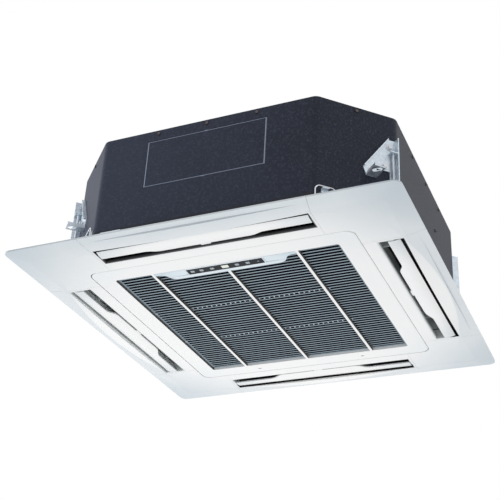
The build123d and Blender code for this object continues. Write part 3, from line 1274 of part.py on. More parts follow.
def drain_pan():
    """Insulated base: condensate trough, air openings and the rim that the walls stand on."""
    low, high = BODY_LIFT - CUT, PAN_TOP + CUT
    pan = octagon_slab(0, BODY_LIFT, BASE_TOP) + octagon_slab(SHEET + ASSEMBLY_GAP, BASE_TOP, PAN_TOP)
    pan -= square_slab(PAN_OPENING, PAN_CORNER_R, low, BASE_TOP)
    pan -= square_slab(PAN_STEP, PAN_CORNER_R, low, high)
    corner_r = PAN_CORNER_R + TROUGH_CORNER
    pan -= square_ring(TROUGH_OUT, corner_r, TROUGH_IN, PAN_CORNER_R, TROUGH_Z, high)
    slot = block(-DUCT_HALF, DUCT_HALF, -DUCT_OUT, -DUCT_IN, low, high)
    pan -= [to_side(slot, side) for side in range(4)]
    hole = SCREW_R + HOLE_CLEAR
    pan -= [rod(x, y, BASE_TOP - CUT, BASE_TOP + SCREW_LENGTH, hole) for x, y in bell_screw_places()]
    return pan - [rod(x, y, PAN_TOP - SCREW_LENGTH, high, hole) for x, y in pump_screw_places()]


def bell_mouth():
    """Inlet ring: square plate that turns up into a round throat."""
    half = PAN_OPENING - 2 * ASSEMBLY_GAP
    plate_z = BASE_TOP - BELL_PLATE
    plate = square_slab(half, PAN_CORNER_R, plate_z, BASE_TOP)
    plate -= rod(0, 0, 0, BELL_TOP, BELL_MOUTH_R - BELL_LAP)
    rise = BELL_TOP - plate_z
    reach = BELL_MOUTH_R - BELL_THROAT_R
    air = EllipticalCenterArc((BELL_MOUTH_R, BELL_TOP), reach, rise, start_angle=180, arc_size=90)
    inner, outer = reach - BELL_WALL, rise - BELL_WALL
    back = EllipticalCenterArc((BELL_MOUTH_R, BELL_TOP), inner, outer, start_angle=180, arc_size=90)
    lines = [air, Line(air @ 1, back @ 1), back, Line(back @ 0, air @ 0)]
    ring = plate + revolve(Plane.XZ * make_face(lines), Axis.Z)
    hole = SCREW_R + HOLE_CLEAR
    return ring - [rod(x, y, plate_z - CUT, BASE_TOP + CUT, hole) for x, y in bell_screw_places()]


def sheet_screws():
    """Screws of the walls and lid, the bell mouth, the electrical box's lid and the pump's plate."""
    up = Rot(180, 0, 0) * screw()
    screws = screw_spread(screw())
    screws += [Pos(x, y, BASE_TOP - BELL_PLATE) * up for x, y in bell_screw_places()]
    screws += [Pos(x, -BOX_MID, BOX_LID_Z) * up for x in (-BOX_SCREW_X, BOX_SCREW_X)]
    return screws + [Pos(x, y, PAN_TOP + PUMP_PLATE) * screw() for x, y in pump_screw_places()]


# ---------------------------------------------------------------- fan and motor
def fan_motor():
    """Motor can with its mounting flange, lower boss and bearing seats."""
    seat = BEARING_R + BUSH_FIT
    low, high = bearing_heights()
    can = rod(0, 0, MOTOR_BOTTOM, FLANGE_TOP, MOTOR_R)
    can += rod(0, 0, BOSS_BOTTOM, MOTOR_BOTTOM + WELD, BEARING_R + BOSS_RIM)
    can += rod(0, 0, FLANGE_TOP - MOTOR_FLANGE, FLANGE_TOP, FIXING_R + MOTOR_LAP)
    can -= rod(0, 0, BOSS_BOTTOM - CUT, FLANGE_TOP + CUT, SHAFT_R + BEARING_INSET)
    can -= rod(0, 0, BOSS_BOTTOM - CUT, low + BEARING_WIDTH, seat)
    can -= rod(0, 0, high, FLANGE_TOP + CUT, seat)
    for x, y in motor_stud_places():
        can -= rod(x, y, MOTOR_BOTTOM, FLANGE_TOP + CUT, MOTOR_STUD_R + HOLE_CLEAR)
    return can


def bearing_heights():
    """Undersides of the lower and upper motor bearings."""
    return BOSS_BOTTOM + BEARING_INSET, FLANGE_TOP - BEARING_WIDTH - BEARING_TOP_INSET


def motor_stud_places():
    """Plan places of the motor's four fixings."""
    return [(FIXING_R * cos(radians(a)), FIXING_R * sin(radians(a))) for a in (45, 135, 225, 315)]


def motor_mounts():
    """Rubber bushes between the motor's flange and the lid."""
    places = motor_stud_places()
    return [tube(x, y, FLANGE_TOP, LID_UNDERSIDE, MOUNT_R, MOTOR_STUD_R + SHAFT_FIT) for x, y in places]


def motor_bolts():
    """Studs hanging from the lid, each with a nut under the motor's flange."""
    pieces = []
    nut_top = FLANGE_TOP - MOTOR_FLANGE
    nut_z = nut_top - HEX_HEIGHT
    for x, y in motor_stud_places():
        pieces.append(rod(x, y, nut_z - CUT, LID_UNDERSIDE, MOTOR_STUD_R))
        nut = hex_prism(x, y, nut_z, nut_top, HEX_BOLT_R)
        pieces.append(nut - rod(x, y, MOTOR_BOTTOM, FLANGE_TOP, MOTOR_STUD_R + SHAFT_FIT))
    return pieces


def motor_bearings():
    """Two ball bearings, as rings."""
    return [tube(0, 0, z, z + BEARING_WIDTH, BEARING_R, SHAFT_R + SHAFT_FIT) for z in bearing_heights()]


def motor_shaft():
    """Shaft through the motor and the fan's boss."""
    return rod(0, 0, NUT_Z - SHAFT_PAST_NUT, bearing_heights()[1] + BEARING_WIDTH, SHAFT_R)


def shroud_band(wall):
    """Section of the fan's shroud: a quarter ellipse from the inlet to the rim."""
    reach, rise = FAN_R - FAN_INLET_R, SHROUD_RISE
    air = EllipticalCenterArc((FAN_R, FAN_BOTTOM), reach, rise, start_angle=180, arc_size=-90)
    back = EllipticalCenterArc((FAN_R, FAN_BOTTOM), reach - wall, rise - wall, start_angle=180, arc_size=-90)
    return make_face([air, Line(air @ 1, back @ 1), back, Line(back @ 0, air @ 0)])


def fan_blade():
    """One backward-swept blade, from above the shroud's mouth to the hub plate."""
    sweep_angle = radians(BLADE_SWEEP)
    mid_r, mid_angle = (BLADE_IN_R + FAN_R) / 2, sweep_angle * BLADE_BOW
    rim = FAN_R - WELD
    tip = rim * cos(sweep_angle), rim * sin(sweep_angle)
    mid = mid_r * cos(mid_angle), mid_r * sin(mid_angle)
    outline = offset(ThreePointArc((BLADE_IN_R, 0), mid, tip), BLADE_THICK / 2)
    blade = extrude(Pos(0, 0, BLADE_Z) * make_face(outline.edges()), FAN_TOP + WELD - BLADE_Z)
    below = revolve(Plane.XZ * shroud_band(SHROUD_RISE - WELD), Axis.Z)
    blade -= Pos(0, 0, -WELD) * below
    return blade & rod(0, 0, 0, FAN_TOP + WELD, FAN_R)


def turbo_fan():
    """Moulded fan: bowl-shaped hub plate, blades and inlet shroud."""
    low = [(FAN_R, FAN_TOP), (HUB_BOWL_R, FAN_TOP), (HUB_FLOOR_R, HUB_FLOOR_Z), (WELD, HUB_FLOOR_Z)]
    thick_z, thick_r = FAN_WALL, FAN_WALL / 2
    high = [(WELD, HUB_FLOOR_Z + thick_z), (HUB_FLOOR_R - thick_r, HUB_FLOOR_Z + thick_z)]
    high += [(HUB_BOWL_R - thick_r, FAN_TOP + thick_z), (FAN_R, FAN_TOP + thick_z)]
    fan = revolve(Plane.XZ * make_face(Polyline(*low, *high, close=True)), Axis.Z)
    fan += rod(0, 0, HUB_BOSS_Z, HUB_FLOOR_Z + thick_z, HUB_BOSS_R)
    fan += revolve(Plane.XZ * shroud_band(FAN_WALL), Axis.Z)
    blade = fan_blade()
    fan += [Rot(0, 0, n * 360 / BLADES) * blade for n in range(BLADES)]
    return fan - rod(0, 0, FAN_BOTTOM, FAN_TOP, SHAFT_R + SHAFT_FIT)


def fan_nut():
    """Nut and washer that hold the fan on the shaft."""
    washer_z = HUB_BOSS_Z - NUT_WASHER
    nut = hex_prism(0, 0, NUT_Z, washer_z + BUSH_FIT, NUT_R)
    nut += rod(0, 0, washer_z, HUB_BOSS_Z, HUB_BOSS_R - NUT_WASHER)
    return nut - rod(0, 0, FAN_BOTTOM, FAN_TOP, SHAFT_R + SHAFT_FIT)


# ---------------------------------------------------------------- heat exchanger and pipes
def coil_rows():
    """Tube heights of the heat exchanger."""
    low, high = COIL_BOTTOM + TUBE_MARGIN, COIL_TOP - TUBE_MARGIN
    return [low + n * (high - low) / (TUBE_ROWS - 1) for n in range(TUBE_ROWS)]


def tube_columns():
    """Distances of the inner and outer tube columns from the centre."""
    return TUBE_NEAR, TUBE_FAR


def coil_fins():
    """Fin block wrapped round the fan, open at the pipe corner."""
    radius = COIL_CORNER_R
    ring = square_ring(COIL_OUT, radius + COIL_THICK, COIL_IN, radius, COIL_BOTTOM, COIL_TOP)
    return ring - block(COIL_END, BODY_HALF, COIL_END, BODY_HALF, 0, BODY_TOP)


def coil_end_plates():
    """Two plates on the coil's open ends."""
    x0, x1 = COIL_IN - END_PLATE_LAP, COIL_OUT + END_PLATE_LAP
    plate = block(x0, x1, COIL_END, COIL_END + END_PLATE, COIL_BOTTOM, COIL_TOP)
    return [plate, mirror(plate, about=Plane((0, 0, 0), z_dir=(1, -1, 0)))]


def return_bend(z):
    """U-bend between the two tube columns, on the end plate beside the pipes."""
    inner, outer = tube_columns()
    y = COIL_END + END_PLATE
    ring = Pos((inner + outer) / 2, y, z) * Torus((outer - inner) / 2, TUBE_R)
    return ring & block(inner - TUBE_R, outer + TUBE_R, y, y + COIL_THICK, z - TUBE_R, z + TUBE_R)


def coil_return_bends():
    """Return bends on both ends of the coil."""
    far = [mirror(return_bend(z), about=Plane((0, 0, 0), z_dir=(1, -1, 0))) for z in coil_rows()]
    return far + [return_bend(z) for z in coil_rows()[1::2]]


def suction_header():
    """Vertical header that joins the coil's circuits and leads to the gas pipe."""
    rows = coil_rows()
    x = tube_columns()[1]
    header = rod(x, HEADER_Y, rows[0] - HEADER_PAST, rows[-1] + HEADER_PAST, HEADER_R)
    start = COIL_END + END_PLATE
    for z in rows[0::2]:
        header += along_y(Cylinder(TUBE_R, HEADER_Y - start), x, (start + HEADER_Y) / 2, z)
    neck = Cylinder(GAS_R + PIPE_WALL, GAS_START - HEADER_Y)
    return header + along_y(neck, x, (GAS_START + HEADER_Y) / 2, GAS_Z)


def refrigerant_pipe(x, y, z, u, radius):
    """Copper pipe from (x, y), bent to leave square to the chamfer at u."""
    corner_x, corner_y = chamfer_point(u)
    end_x, end_y = chamfer_point(u, PIPE_STANDOUT)
    points = [(x, y, z), (x, corner_y - (corner_x - x), z), (end_x, end_y, z)]
    path = FilletPolyline(*points, radius=PIPE_BEND_R)
    section = Plane(origin=path @ 0, z_dir=path % 0) * (Circle(radius) - Circle(radius - PIPE_WALL))
    return sweep(section, path=path)


def gas_pipe():
    """Larger pipe from the suction header."""
    return refrigerant_pipe(tube_columns()[1], GAS_START, GAS_Z, GAS_U, GAS_R)


def liquid_pipe():
    """Smaller pipe from the coil's end plate."""
    return refrigerant_pipe(tube_columns()[0], COIL_END + END_PLATE, LIQUID_Z, LIQUID_U, LIQUID_R)


def pipe_union(u, z, pipe_r, thread_r):
    """Brass flare union brazed on a pipe's end, outside the casing."""
    flat = UNION_FLAT - UNION_SOCKET
    body = hex_prism(0, 0, -UNION_SOCKET, flat, thread_r + UNION_WALL)
    body += rod(0, 0, 0, flat + THREAD_LENGTH, thread_r)
    body -= rod(0, 0, -UNION_SOCKET - CUT, 0, pipe_r + BUSH_FIT)
    body -= rod(0, 0, -CUT, THREAD_LENGTH + UNION_FLAT, pipe_r - PIPE_WALL)
    return back_corner(Pos(0, -PIPE_STANDOUT, 0) * wall_piece(body, u, z))


def pipe_unions():
    """Gas and liquid unions."""
    gas = pipe_union(GAS_U, GAS_Z, GAS_R, GAS_THREAD_R)
    return [gas, pipe_union(LIQUID_U, LIQUID_Z, LIQUID_R, LIQUID_THREAD_R)]


def pipe_plate():
    """Cover plate over the pipe window, with a close hole for each pipe."""
    u0, u1, z0, z1 = PIPE_WINDOW
    lap, depth = PIPE_PLATE_LAP, 4 * PIPE_PLATE
    plate = block(u0 - lap, u1 + lap, -PIPE_PLATE, 0, z0 - lap, z1 + lap)
    plate -= wall_piece(Cylinder(GAS_R + ASSEMBLY_GAP, depth), GAS_U, GAS_Z)
    plate -= wall_piece(Cylinder(LIQUID_R + ASSEMBLY_GAP, depth), LIQUID_U, LIQUID_Z)
    hole = Cylinder(SCREW_R + HOLE_CLEAR, depth)
    return back_corner(plate - [wall_piece(hole, u, z) for u, z in pipe_screw_places()])


# ---------------------------------------------------------------- drain
def pump_bracket():
    """Plate across the trough that carries the pump and the float switch."""
    x0, x1, y0, y1 = PUMP_X - DECK_LEFT, PUMP_X + DECK_RIGHT, TROUGH_IN - DECK_LAP, TROUGH_OUT + DECK_TAIL
    low, high = PAN_TOP - CUT, PAN_TOP + PUMP_PLATE + CUT
    deck = block(x0, x1, y0, y1, PAN_TOP, PAN_TOP + PUMP_PLATE)
    deck -= rod(PUMP_X, PUMP_Y, low, high, PUMP_NECK_R + ASSEMBLY_GAP)
    deck -= rod(FLOAT_X, PUMP_Y, low, high, FLOAT_STEM_R + ASSEMBLY_GAP)
    return deck - [rod(x, y, low, high, SCREW_R + HOLE_CLEAR) for x, y in pump_screw_places()]


def drain_pump():
    """Condensate pump: motor body, intake neck in the trough and outlet port."""
    base = PAN_TOP + PUMP_PLATE
    pump = rod(PUMP_X, PUMP_Y, base, base + PUMP_HEIGHT, PUMP_R)
    pump += rod(PUMP_X, PUMP_Y, TROUGH_Z + PUMP_LIFT, base + WELD, PUMP_NECK_R)
    pump -= rod(PUMP_X, PUMP_Y, TROUGH_Z, base - PUMP_NECK_DEPTH, PUMP_NECK_R - PUMP_NECK_WALL)
    port_end = PUMP_Y + PUMP_R + PORT_LENGTH
    port = Cylinder(DRAIN_R - DRAIN_WALL - SHAFT_FIT, port_end - PUMP_Y)
    return pump + along_y(port, PUMP_X, (PUMP_Y + port_end) / 2, DRAIN_Z)


def drain_hose():
    """Short hose from the pump's port into the drain socket."""
    start, end = PUMP_Y + PUMP_R + WELD, BODY_HALF + HOSE_INSERT
    hose = Cylinder(DRAIN_R, end - start) - Cylinder(DRAIN_R - DRAIN_WALL, 2 * (end - start))
    return along_y(hose, PUMP_X, (start + end) / 2, DRAIN_Z)


def drain_socket():
    """Socket through the back wall, with a flange on the casing."""
    inside, end = BODY_HALF - SHEET - ASSEMBLY_GAP - LINER_THICK, BODY_HALF + SOCKET_LENGTH
    mid = (inside + end) / 2
    socket = along_y(Cylinder(SOCKET_R, end - inside), PUMP_X, mid, DRAIN_Z)
    flange = Cylinder(SOCKET_R + SOCKET_FLANGE, CLIP_THICK)
    socket += along_y(flange, PUMP_X, BODY_HALF + CLIP_THICK / 2, DRAIN_Z)
    return socket - along_y(Cylinder(DRAIN_R + SHAFT_FIT, 2 * (end - inside)), PUMP_X, mid, DRAIN_Z)


def float_switch():
    """Switch body on the pump's plate, with the stem that the float slides on."""
    base = PAN_TOP + PUMP_PLATE
    foot = TROUGH_Z + FLOAT_STOP / 2
    switch = rod(FLOAT_X, PUMP_Y, base, base + SWITCH_HEIGHT, FLOAT_R - WELD)
    switch += rod(FLOAT_X, PUMP_Y, foot, base + WELD, FLOAT_STEM_R)
    return switch + rod(FLOAT_X, PUMP_Y, foot, FLOAT_Z - ASSEMBLY_GAP, FLOAT_STEM_R + FLOAT_STOP)


def float_body():
    """Ring-shaped float at its low end."""
    return tube(FLOAT_X, PUMP_Y, FLOAT_Z, FLOAT_Z + FLOAT_HEIGHT, FLOAT_R, FLOAT_STEM_R + HOLE_CLEAR)


# ---------------------------------------------------------------- electrics
def electrical_box():
    """Steel box under the bell mouth's plate, open below."""
    front, back = -BOX_FRONT + BOX_WALL, -BOX_BACK - BOX_WALL
    half = BOX_HALF - BOX_WALL
    box = block(-BOX_HALF, BOX_HALF, -BOX_FRONT, -BOX_BACK, BOX_LID_Z + SHEET, BOX_TOP)
    box -= block(-half, half, front, back, BOX_LID_Z, BOX_TOP - BOX_WALL)
    for x in (-BOX_SCREW_X, BOX_SCREW_X):
        box += rod(x, -BOX_MID, BOX_LID_Z + SHEET, BOX_TOP - WELD, SCREW_HEAD_R)
        box -= rod(x, -BOX_MID, BOX_LID_Z, BOX_LID_Z + SCREW_LENGTH + CUT, SCREW_R + HOLE_CLEAR)
    return box


def electrical_box_lid():
    """Flat lid of the electrical box."""
    lid = block(-BOX_HALF, BOX_HALF, -BOX_FRONT, -BOX_BACK, BOX_LID_Z, BOX_LID_Z + SHEET)
    for x in (-BOX_SCREW_X, BOX_SCREW_X):
        lid -= rod(x, -BOX_MID, 0, BOX_TOP, SCREW_R + HOLE_CLEAR)
    return lid


def control_board():
    """Main circuit board against the top of the box, components downwards."""
    top = BOX_TOP - BOX_WALL
    under = top - BOARD_THICK
    y0, y1 = -BOX_FRONT + BOX_WALL + BOARD_GAP, -BOX_BACK - BOX_WALL - BOARD_GAP
    board = block(-BOX_SCREW_X + BOX_SCREW_INSET, BOARD_END, y0, y1, under, top)
    near, far = PART_INSET
    for step, width, drop in BOARD_PARTS:
        x = -BOX_HALF + step
        board += block(x, x + width, y0 + near, y1 - far, under - drop, top)
    return board


def terminal_block():
    """Screw terminals for the supply, beside the board."""
    top = BOX_TOP - BOX_WALL
    gap = BOX_WALL + TERMINAL_GAP
    start, end = BOARD_END + TERMINAL_GAP, BOX_SCREW_X - BOX_SCREW_INSET
    bottom = top - TERMINAL_HEIGHT
    strip = block(start, end, -BOX_FRONT + gap, -BOX_BACK - gap, bottom, top)
    pitch = (end - start) / TERMINALS
    places = [start + (n + 0.5) * pitch for n in range(TERMINALS)]
    return strip - [rod(x, -BOX_MID, bottom - CUT, bottom + TERMINAL_HOLE, pitch / 3) for x in places]


def cable_gland():
    """Gland for the supply cable on the left wall; its bore stands empty."""
    wall_r = CABLE_R + GLAND_WALL
    body = hex_prism(0, 0, 0, GLAND_HEX, wall_r + GLAND_FLAT)
    body += rod(0, 0, -LINER_THICK, GLAND_LENGTH, wall_r - HOLE_CLEAR)
    body += hex_prism(0, 0, -SHEET - GLAND_NUT, -SHEET, wall_r + GLAND_NUT_FLAT)
    body -= rod(0, 0, -GLAND_LENGTH, 2 * GLAND_LENGTH, CABLE_R)
    return on_face(wall_piece(body, -CABLE_Y, CABLE_Z), 3)


# ---------------------------------------------------------------- assembly
def main():
    """Builds and writes every sub-part."""
    os.makedirs("parts", exist_ok=True)
    save("panel_frame", panel_frame())
    save("corner_covers", corner_covers())
    save("outlet_ducts", [to_side(outlet_duct(), side) for side in range(4)])
    save("duct_seals", [to_side(duct_seal(), side) for side in range(4)])
    for side, name in enumerate(("front", "right", "back", "left")):
        save(f"louvre_{name}", to_side(louvre(), side))
    save("louvre_bushes", louvre_bushes())
    save("louvre_motors", louvre_motors())
    save("grille_frame", grille_frame())
    save("latch_left", latch(-LATCH_X))
    save("latch_right", latch(LATCH_X))
    save("grille_hinge_pins", hinge_pins())
    save("grille_slats", grille_slats())
    save("air_filter", air_filter())
    save("display_bezel", display_bezel())
    save("display_window", display_window())
    save("display_board", display_board())
    save("manual_button", manual_button())
    save("front_back_walls", front_back_walls())
    save("side_walls", side_walls())
    save("duct_knockout", duct_knockout())
    save("casing_top", casing_top())
    save("foam_liner", foam_liner())
    save("sheet_screws", sheet_screws())
    save("hanger_brackets", four_corners(hanger_bracket()))
    save("bracket_bolts", bracket_spread(Pos(0, 0, STEEL) * bracket_bolt()))
    save("panel_studs", panel_studs())
    save("panel_hook_right", panel_hook())
    save("panel_hook_left", mirror(panel_hook(), about=Plane.YZ))
    save("base_clips", base_clips())
    save("drain_pan", drain_pan())
    save("bell_mouth", bell_mouth())
    save("fan_motor", fan_motor())
    save("motor_mounts", motor_mounts())
    save("motor_bolts", motor_bolts())
    save("motor_bearings", motor_bearings())
    save("motor_shaft", motor_shaft())
    save("turbo_fan", turbo_fan())
    save("fan_nut", fan_nut())
    save("coil_fins", coil_fins())
    save("coil_end_plates", coil_end_plates())
    save("coil_return_bends", coil_return_bends())
    save("suction_header", suction_header())
    save("gas_pipe", gas_pipe())
    save("liquid_pipe", liquid_pipe())
    save("pipe_unions", pipe_unions())
    save("pipe_plate", pipe_plate())
    save("pump_bracket", pump_bracket())
    save("drain_pump", drain_pump())
    save("drain_hose", drain_hose())
    save("drain_socket", drain_socket())
    save("float_switch", float_switch())
    save("float", float_body())
    save("electrical_box", electrical_box())
    save("electrical_box_lid", electrical_box_lid())
    save("control_board", control_board())
    save("terminal_block", terminal_block())
    save("cable_gland", cable_gland())


main()
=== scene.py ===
"""Looks of a four-way ceiling cassette air conditioner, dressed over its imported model.

All sizes are in metres in the model's own frame: the origin is the centre of the panel in the
ceiling plane, +Z points up into the ceiling void, -Y is the front and +X is the right.
"""

import logging
import math
from abc import ABC, abstractmethod
from collections.abc import Iterable
from dataclasses import dataclass
from enum import Enum

import bmesh
import bpy
from mathutils import Matrix, Vector


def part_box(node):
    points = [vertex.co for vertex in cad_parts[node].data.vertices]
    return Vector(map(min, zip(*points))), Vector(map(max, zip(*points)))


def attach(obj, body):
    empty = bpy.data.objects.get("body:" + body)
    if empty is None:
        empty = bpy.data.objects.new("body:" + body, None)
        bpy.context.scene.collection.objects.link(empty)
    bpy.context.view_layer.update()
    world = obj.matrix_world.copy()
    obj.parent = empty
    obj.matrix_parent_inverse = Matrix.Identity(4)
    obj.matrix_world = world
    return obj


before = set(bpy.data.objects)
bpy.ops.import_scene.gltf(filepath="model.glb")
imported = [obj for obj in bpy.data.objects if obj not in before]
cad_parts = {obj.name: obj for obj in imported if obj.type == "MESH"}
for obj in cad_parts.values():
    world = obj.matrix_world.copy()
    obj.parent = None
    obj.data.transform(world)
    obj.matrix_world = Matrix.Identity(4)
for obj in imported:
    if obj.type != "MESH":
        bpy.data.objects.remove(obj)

log = logging.getLogger("cassette")

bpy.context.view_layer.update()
MM = 0.001
WELD = 0.000005
BEAD_GROOVE = 0.22

Pair = tuple[float, float]
Point = tuple[float, float, float]
Colour = tuple[float, float, float]

WHITE: Colour = (1.0, 1.0, 1.0)


# ---------------- shader building blocks
class Link:
    """An output socket that can be used in arithmetic."""

    def __init__(self, nodes: "Nodes", socket: bpy.types.NodeSocket) -> None:
        """Wraps one output socket of a node tree."""
        self.nodes = nodes
        self.socket = socket

    def _math(self, operation: str, first: "float | Link", second: "float | Link" = 0.0) -> "Link":
        """Adds a Math node with its operation and the values or links of its two sockets."""
        return self.nodes.node("ShaderNodeMath", {"operation": operation}, {0: first, 1: second})

    def __add__(self, other: "float | Link") -> "Link":
        """Sum."""
        return self._math("ADD", self, other)

    def __radd__(self, other: float) -> "Link":
        """Sum with a number on the left."""
        return self._math("ADD", other, self)

    def __sub__(self, other: "float | Link") -> "Link":
        """Difference."""
        return self._math("SUBTRACT", self, other)

    def __rsub__(self, other: float) -> "Link":
        """Difference with a number on the left."""
        return self._math("SUBTRACT", other, self)

    def __mul__(self, other: "float | Link") -> "Link":
        """Product."""
        return self._math("MULTIPLY", self, other)

    def __rmul__(self, other: float) -> "Link":
        """Product with a number on the left."""
        return self._math("MULTIPLY", other, self)

    def __truediv__(self, other: "float | Link") -> "Link":
        """Quotient."""
        return self._math("DIVIDE", self, other)

    def __neg__(self) -> "Link":
        """Opposite value."""
        return self._math("MULTIPLY", self, -1.0)

    def __abs__(self) -> "Link":
        """Absolute value."""
        return self._math("ABSOLUTE", self)

    def __gt__(self, other: "float | Link") -> "Link":
        """One where this is greater than the other, otherwise zero."""
        return self._math("GREATER_THAN", self, other)

    def __lt__(self, other: "float | Link") -> "Link":
        """One where this is less than the other, otherwise zero."""
        return self._math("LESS_THAN", self, other)

    def larger(self, other: "float | Link") -> "Link":
        """The larger of the two."""
        return self._math("MAXIMUM", self, other)

    def swing(self, amount: float) -> "Link":
        """A pattern's departure from its middle value of a half, times the amount."""
        return (self - 0.5) * amount

    def ramp(self, low: float, high: float) -> "Link":
        """Smooth step from zero at low to one at high.

        Args:
            low: value that gives zero.
            high: value that gives one.

        Returns:
            The eased value.
        """
        settings = {"interpolation_type": "SMOOTHSTEP"}
        inputs = {0: self, 1: low, 2: high, 3: 0.0, 4: 1.0}
        return self.nodes.node("ShaderNodeMapRange", settings, inputs)

    def stripes(self, period: float, band: Pair) -> "Link":
        """Soft stripes, one where the share of the period from a gap's middle is past the band."""
        within = self._math("FRACT", self / period)
        return abs(within - 0.5).ramp(*band)


Value = float | Colour | Link


class Nodes:
    """Nodes of a material or of the world, added one at a time."""

    def __init__(self, tree: bpy.types.NodeTree, output: str) -> None:
        """Empties a node tree and gives it its output node.

        Args:
            tree: the node tree.
            output: type of its output node.
        """
        self.tree = tree
        self.tree.nodes.clear()
        self.output = self.tree.nodes.new(output)

    def feed(self, socket: bpy.types.NodeSocket, value: Value) -> None:
        """Sets a socket's value or links it.

        Args:
            socket: input socket to fill.
            value: number, colour or link.
        """
        if isinstance(value, Link):
            self.tree.links.new(value.socket, socket)
        elif isinstance(value, (int, float)):
            socket.default_value = value
        else:
            whole = len(socket.default_value)
            socket.default_value = (*value, 1.0)[:whole]

    def node(self, kind: str, settings: dict[str, object] | None = None,
             inputs: dict[int | str, Value] | None = None, output: int | str = 0) -> Link:
        """Adds any node.

        Args:
            kind: the node's type.
            settings: its settings, which are set first.
            inputs: values or links of its sockets, by name or number.
            output: name or number of the output to return.

        Returns:
            The chosen output.
        """
        made = self.tree.nodes.new(kind)
        for key, value in (settings or {}).items():
            setattr(made, key, value)
        for key, value in (inputs or {}).items():
            self.feed(made.inputs[key], value)
        return Link(self, made.outputs[output])

    def seen(self) -> Link:
        """Where the camera, a reflection or a clear part looks.

        Returns:
            One for those rays, otherwise zero.
        """
        camera = self.node("ShaderNodeLightPath", output="Is Camera Ray")
        outputs = camera.socket.node.outputs
        mirror = Link(self, outputs["Is Glossy Ray"])
        clear = Link(self, outputs["Is Transmission Ray"])
        return camera.larger(mirror).larger(clear)

    def show(self, surface: Link) -> None:
        """Makes a shader what the tree puts out."""
        self.feed(self.output.inputs["Surface"], surface)


class Shader(Nodes):
    """A material under construction."""

    def __init__(self, name: str) -> None:
        """Starts an empty material with a principled surface."""
        self.material = bpy.data.materials.new(name)
        self.material.use_nodes = True
        super().__init__(self.material.node_tree, "ShaderNodeOutputMaterial")
        self.surface = self.node("ShaderNodeBsdfPrincipled")
        self.show(self.surface)
        self._place: Link | None = None

    @property
    def place(self) -> Link:
        """Position in the model's frame, carried along by a moving body."""
        if self._place is None:
            self._place = self.node("ShaderNodeTexCoord", output="Object")
        return self._place

    def axes(self, vector: Link) -> tuple[Link, Link, Link]:
        """Parts of a vector.

        Args:
            vector: the vector to split.

        Returns:
            Its X, Y and Z.
        """
        first = self.node("ShaderNodeSeparateXYZ", inputs={0: vector})
        outputs = first.socket.node.outputs
        return first, Link(self, outputs[1]), Link(self, outputs[2])

    def facing(self) -> tuple[Link, Link, Link]:
        """Parts of the surface's direction in the model's frame at rest."""
        return self.axes(self.node("ShaderNodeTexCoord", output="Normal"))

    def stretched(self, scale: Point) -> Link:
        """Position scaled by a factor along X, Y and Z."""
        settings = {"operation": "MULTIPLY"}
        return self.node("ShaderNodeVectorMath", settings, {0: self.place, 1: scale})

    def noise(self, size: float, detail: float = 3.0, roughness: float = 0.55,
              where: Link | None = None) -> Link:
        """Noise whose features are about size across.

        Args:
            size: feature size in metres.
            detail: number of finer layers.
            roughness: strength of the finer layers.
            where: position to use instead of the model's.

        Returns:
            Noise from about 0.2 to 0.8.
        """
        inputs = {"Vector": where or self.place, "Scale": 1.0 / size}
        inputs |= {"Detail": detail, "Roughness": roughness}
        return self.node("ShaderNodeTexNoise", None, inputs, "Fac")

    def cells(self, size: float, output: str = "Distance", feature: str = "F1") -> Link:
        """Pattern of cells of a size in metres, by one of its outputs and features."""
        inputs = {"Vector": self.place, "Scale": 1.0 / size}
        return self.node("ShaderNodeTexVoronoi", {"feature": feature}, inputs, output)

    def beads(self, size: float) -> Link:
        """Pressed foam beads, zero in the grooves between them and one on the beads."""
        return self.cells(size, feature="DISTANCE_TO_EDGE").ramp(0.0, BEAD_GROOVE)

    def mixed(self, mask: Link, low: Link | Colour, high: Link | Colour) -> Link:
        """Colour between two colours: the first where the mask is zero, the second at one."""
        settings = {"data_type": "RGBA", "clamp_factor": True}
        return self.node("ShaderNodeMix", settings, {0: mask, 6: low, 7: high}, 2)

    def toned(self, mask: Link, colour: Colour, tones: Pair) -> Link:
        """One colour between two of its tones, each given as a factor."""
        return self.mixed(mask, *(shade(colour, tone) for tone in tones))

    def bump(self, height: Link, depth: float, strength: float) -> None:
        """Raises the shading by a height from zero to one, where one is the depth in metres."""
        inputs = {"Height": height, "Distance": depth, "Strength": strength}
        self.finish(Normal=self.node("ShaderNodeBump", None, inputs))

    def finish(self, **inputs: Value) -> None:
        """Fills the surface's sockets, named with underscores for spaces."""
        for name, value in inputs.items():
            self.feed(self.surface.socket.node.inputs[name.replace("_", " ")], value)


def shade(colour: Colour, factor: float) -> Colour:
    """A colour made lighter or darker.

    Args:
        colour: the colour.
        factor: what its parts are multiplied by.

    Returns:
        The new colour, never above one.
    """
    red, green, blue = (min(1.0, part * factor) for part in colour)
    return red, green, blue


# ---------------- finishes
@dataclass(frozen=True)
class Finish(ABC):
    """A surface finish that can dress any number of objects."""

    roughness: float = 0.5
    swing: float = 0.2
    specular: float = 0.5
    relief: float = 0.00003
    strength: float = 0.5
    tones: Pair = (0.8, 1.2)

    @abstractmethod
    def build(self, shader: Shader) -> None:
        """Fills a new shader."""

    def settle(self, shader: Shader, colour: Link, change: Link, height: Link) -> None:
        """Sets the colour, the roughness with its change over the surface, and the relief."""
        shader.finish(Base_Color=colour, Roughness=self.roughness + change)
        shader.bump(height, self.relief, self.strength)

    def material(self, name: str) -> bpy.types.Material:
        """The finish as a material, made once for each name.

        Args:
            name: name of the material.

        Returns:
            The material.
        """
        made = bpy.data.materials.get(name)
        if made is None:
            shader = Shader(name)
            shader.finish(Specular_IOR_Level=self.specular)
            self.build(shader)
            made = shader.material
        return made


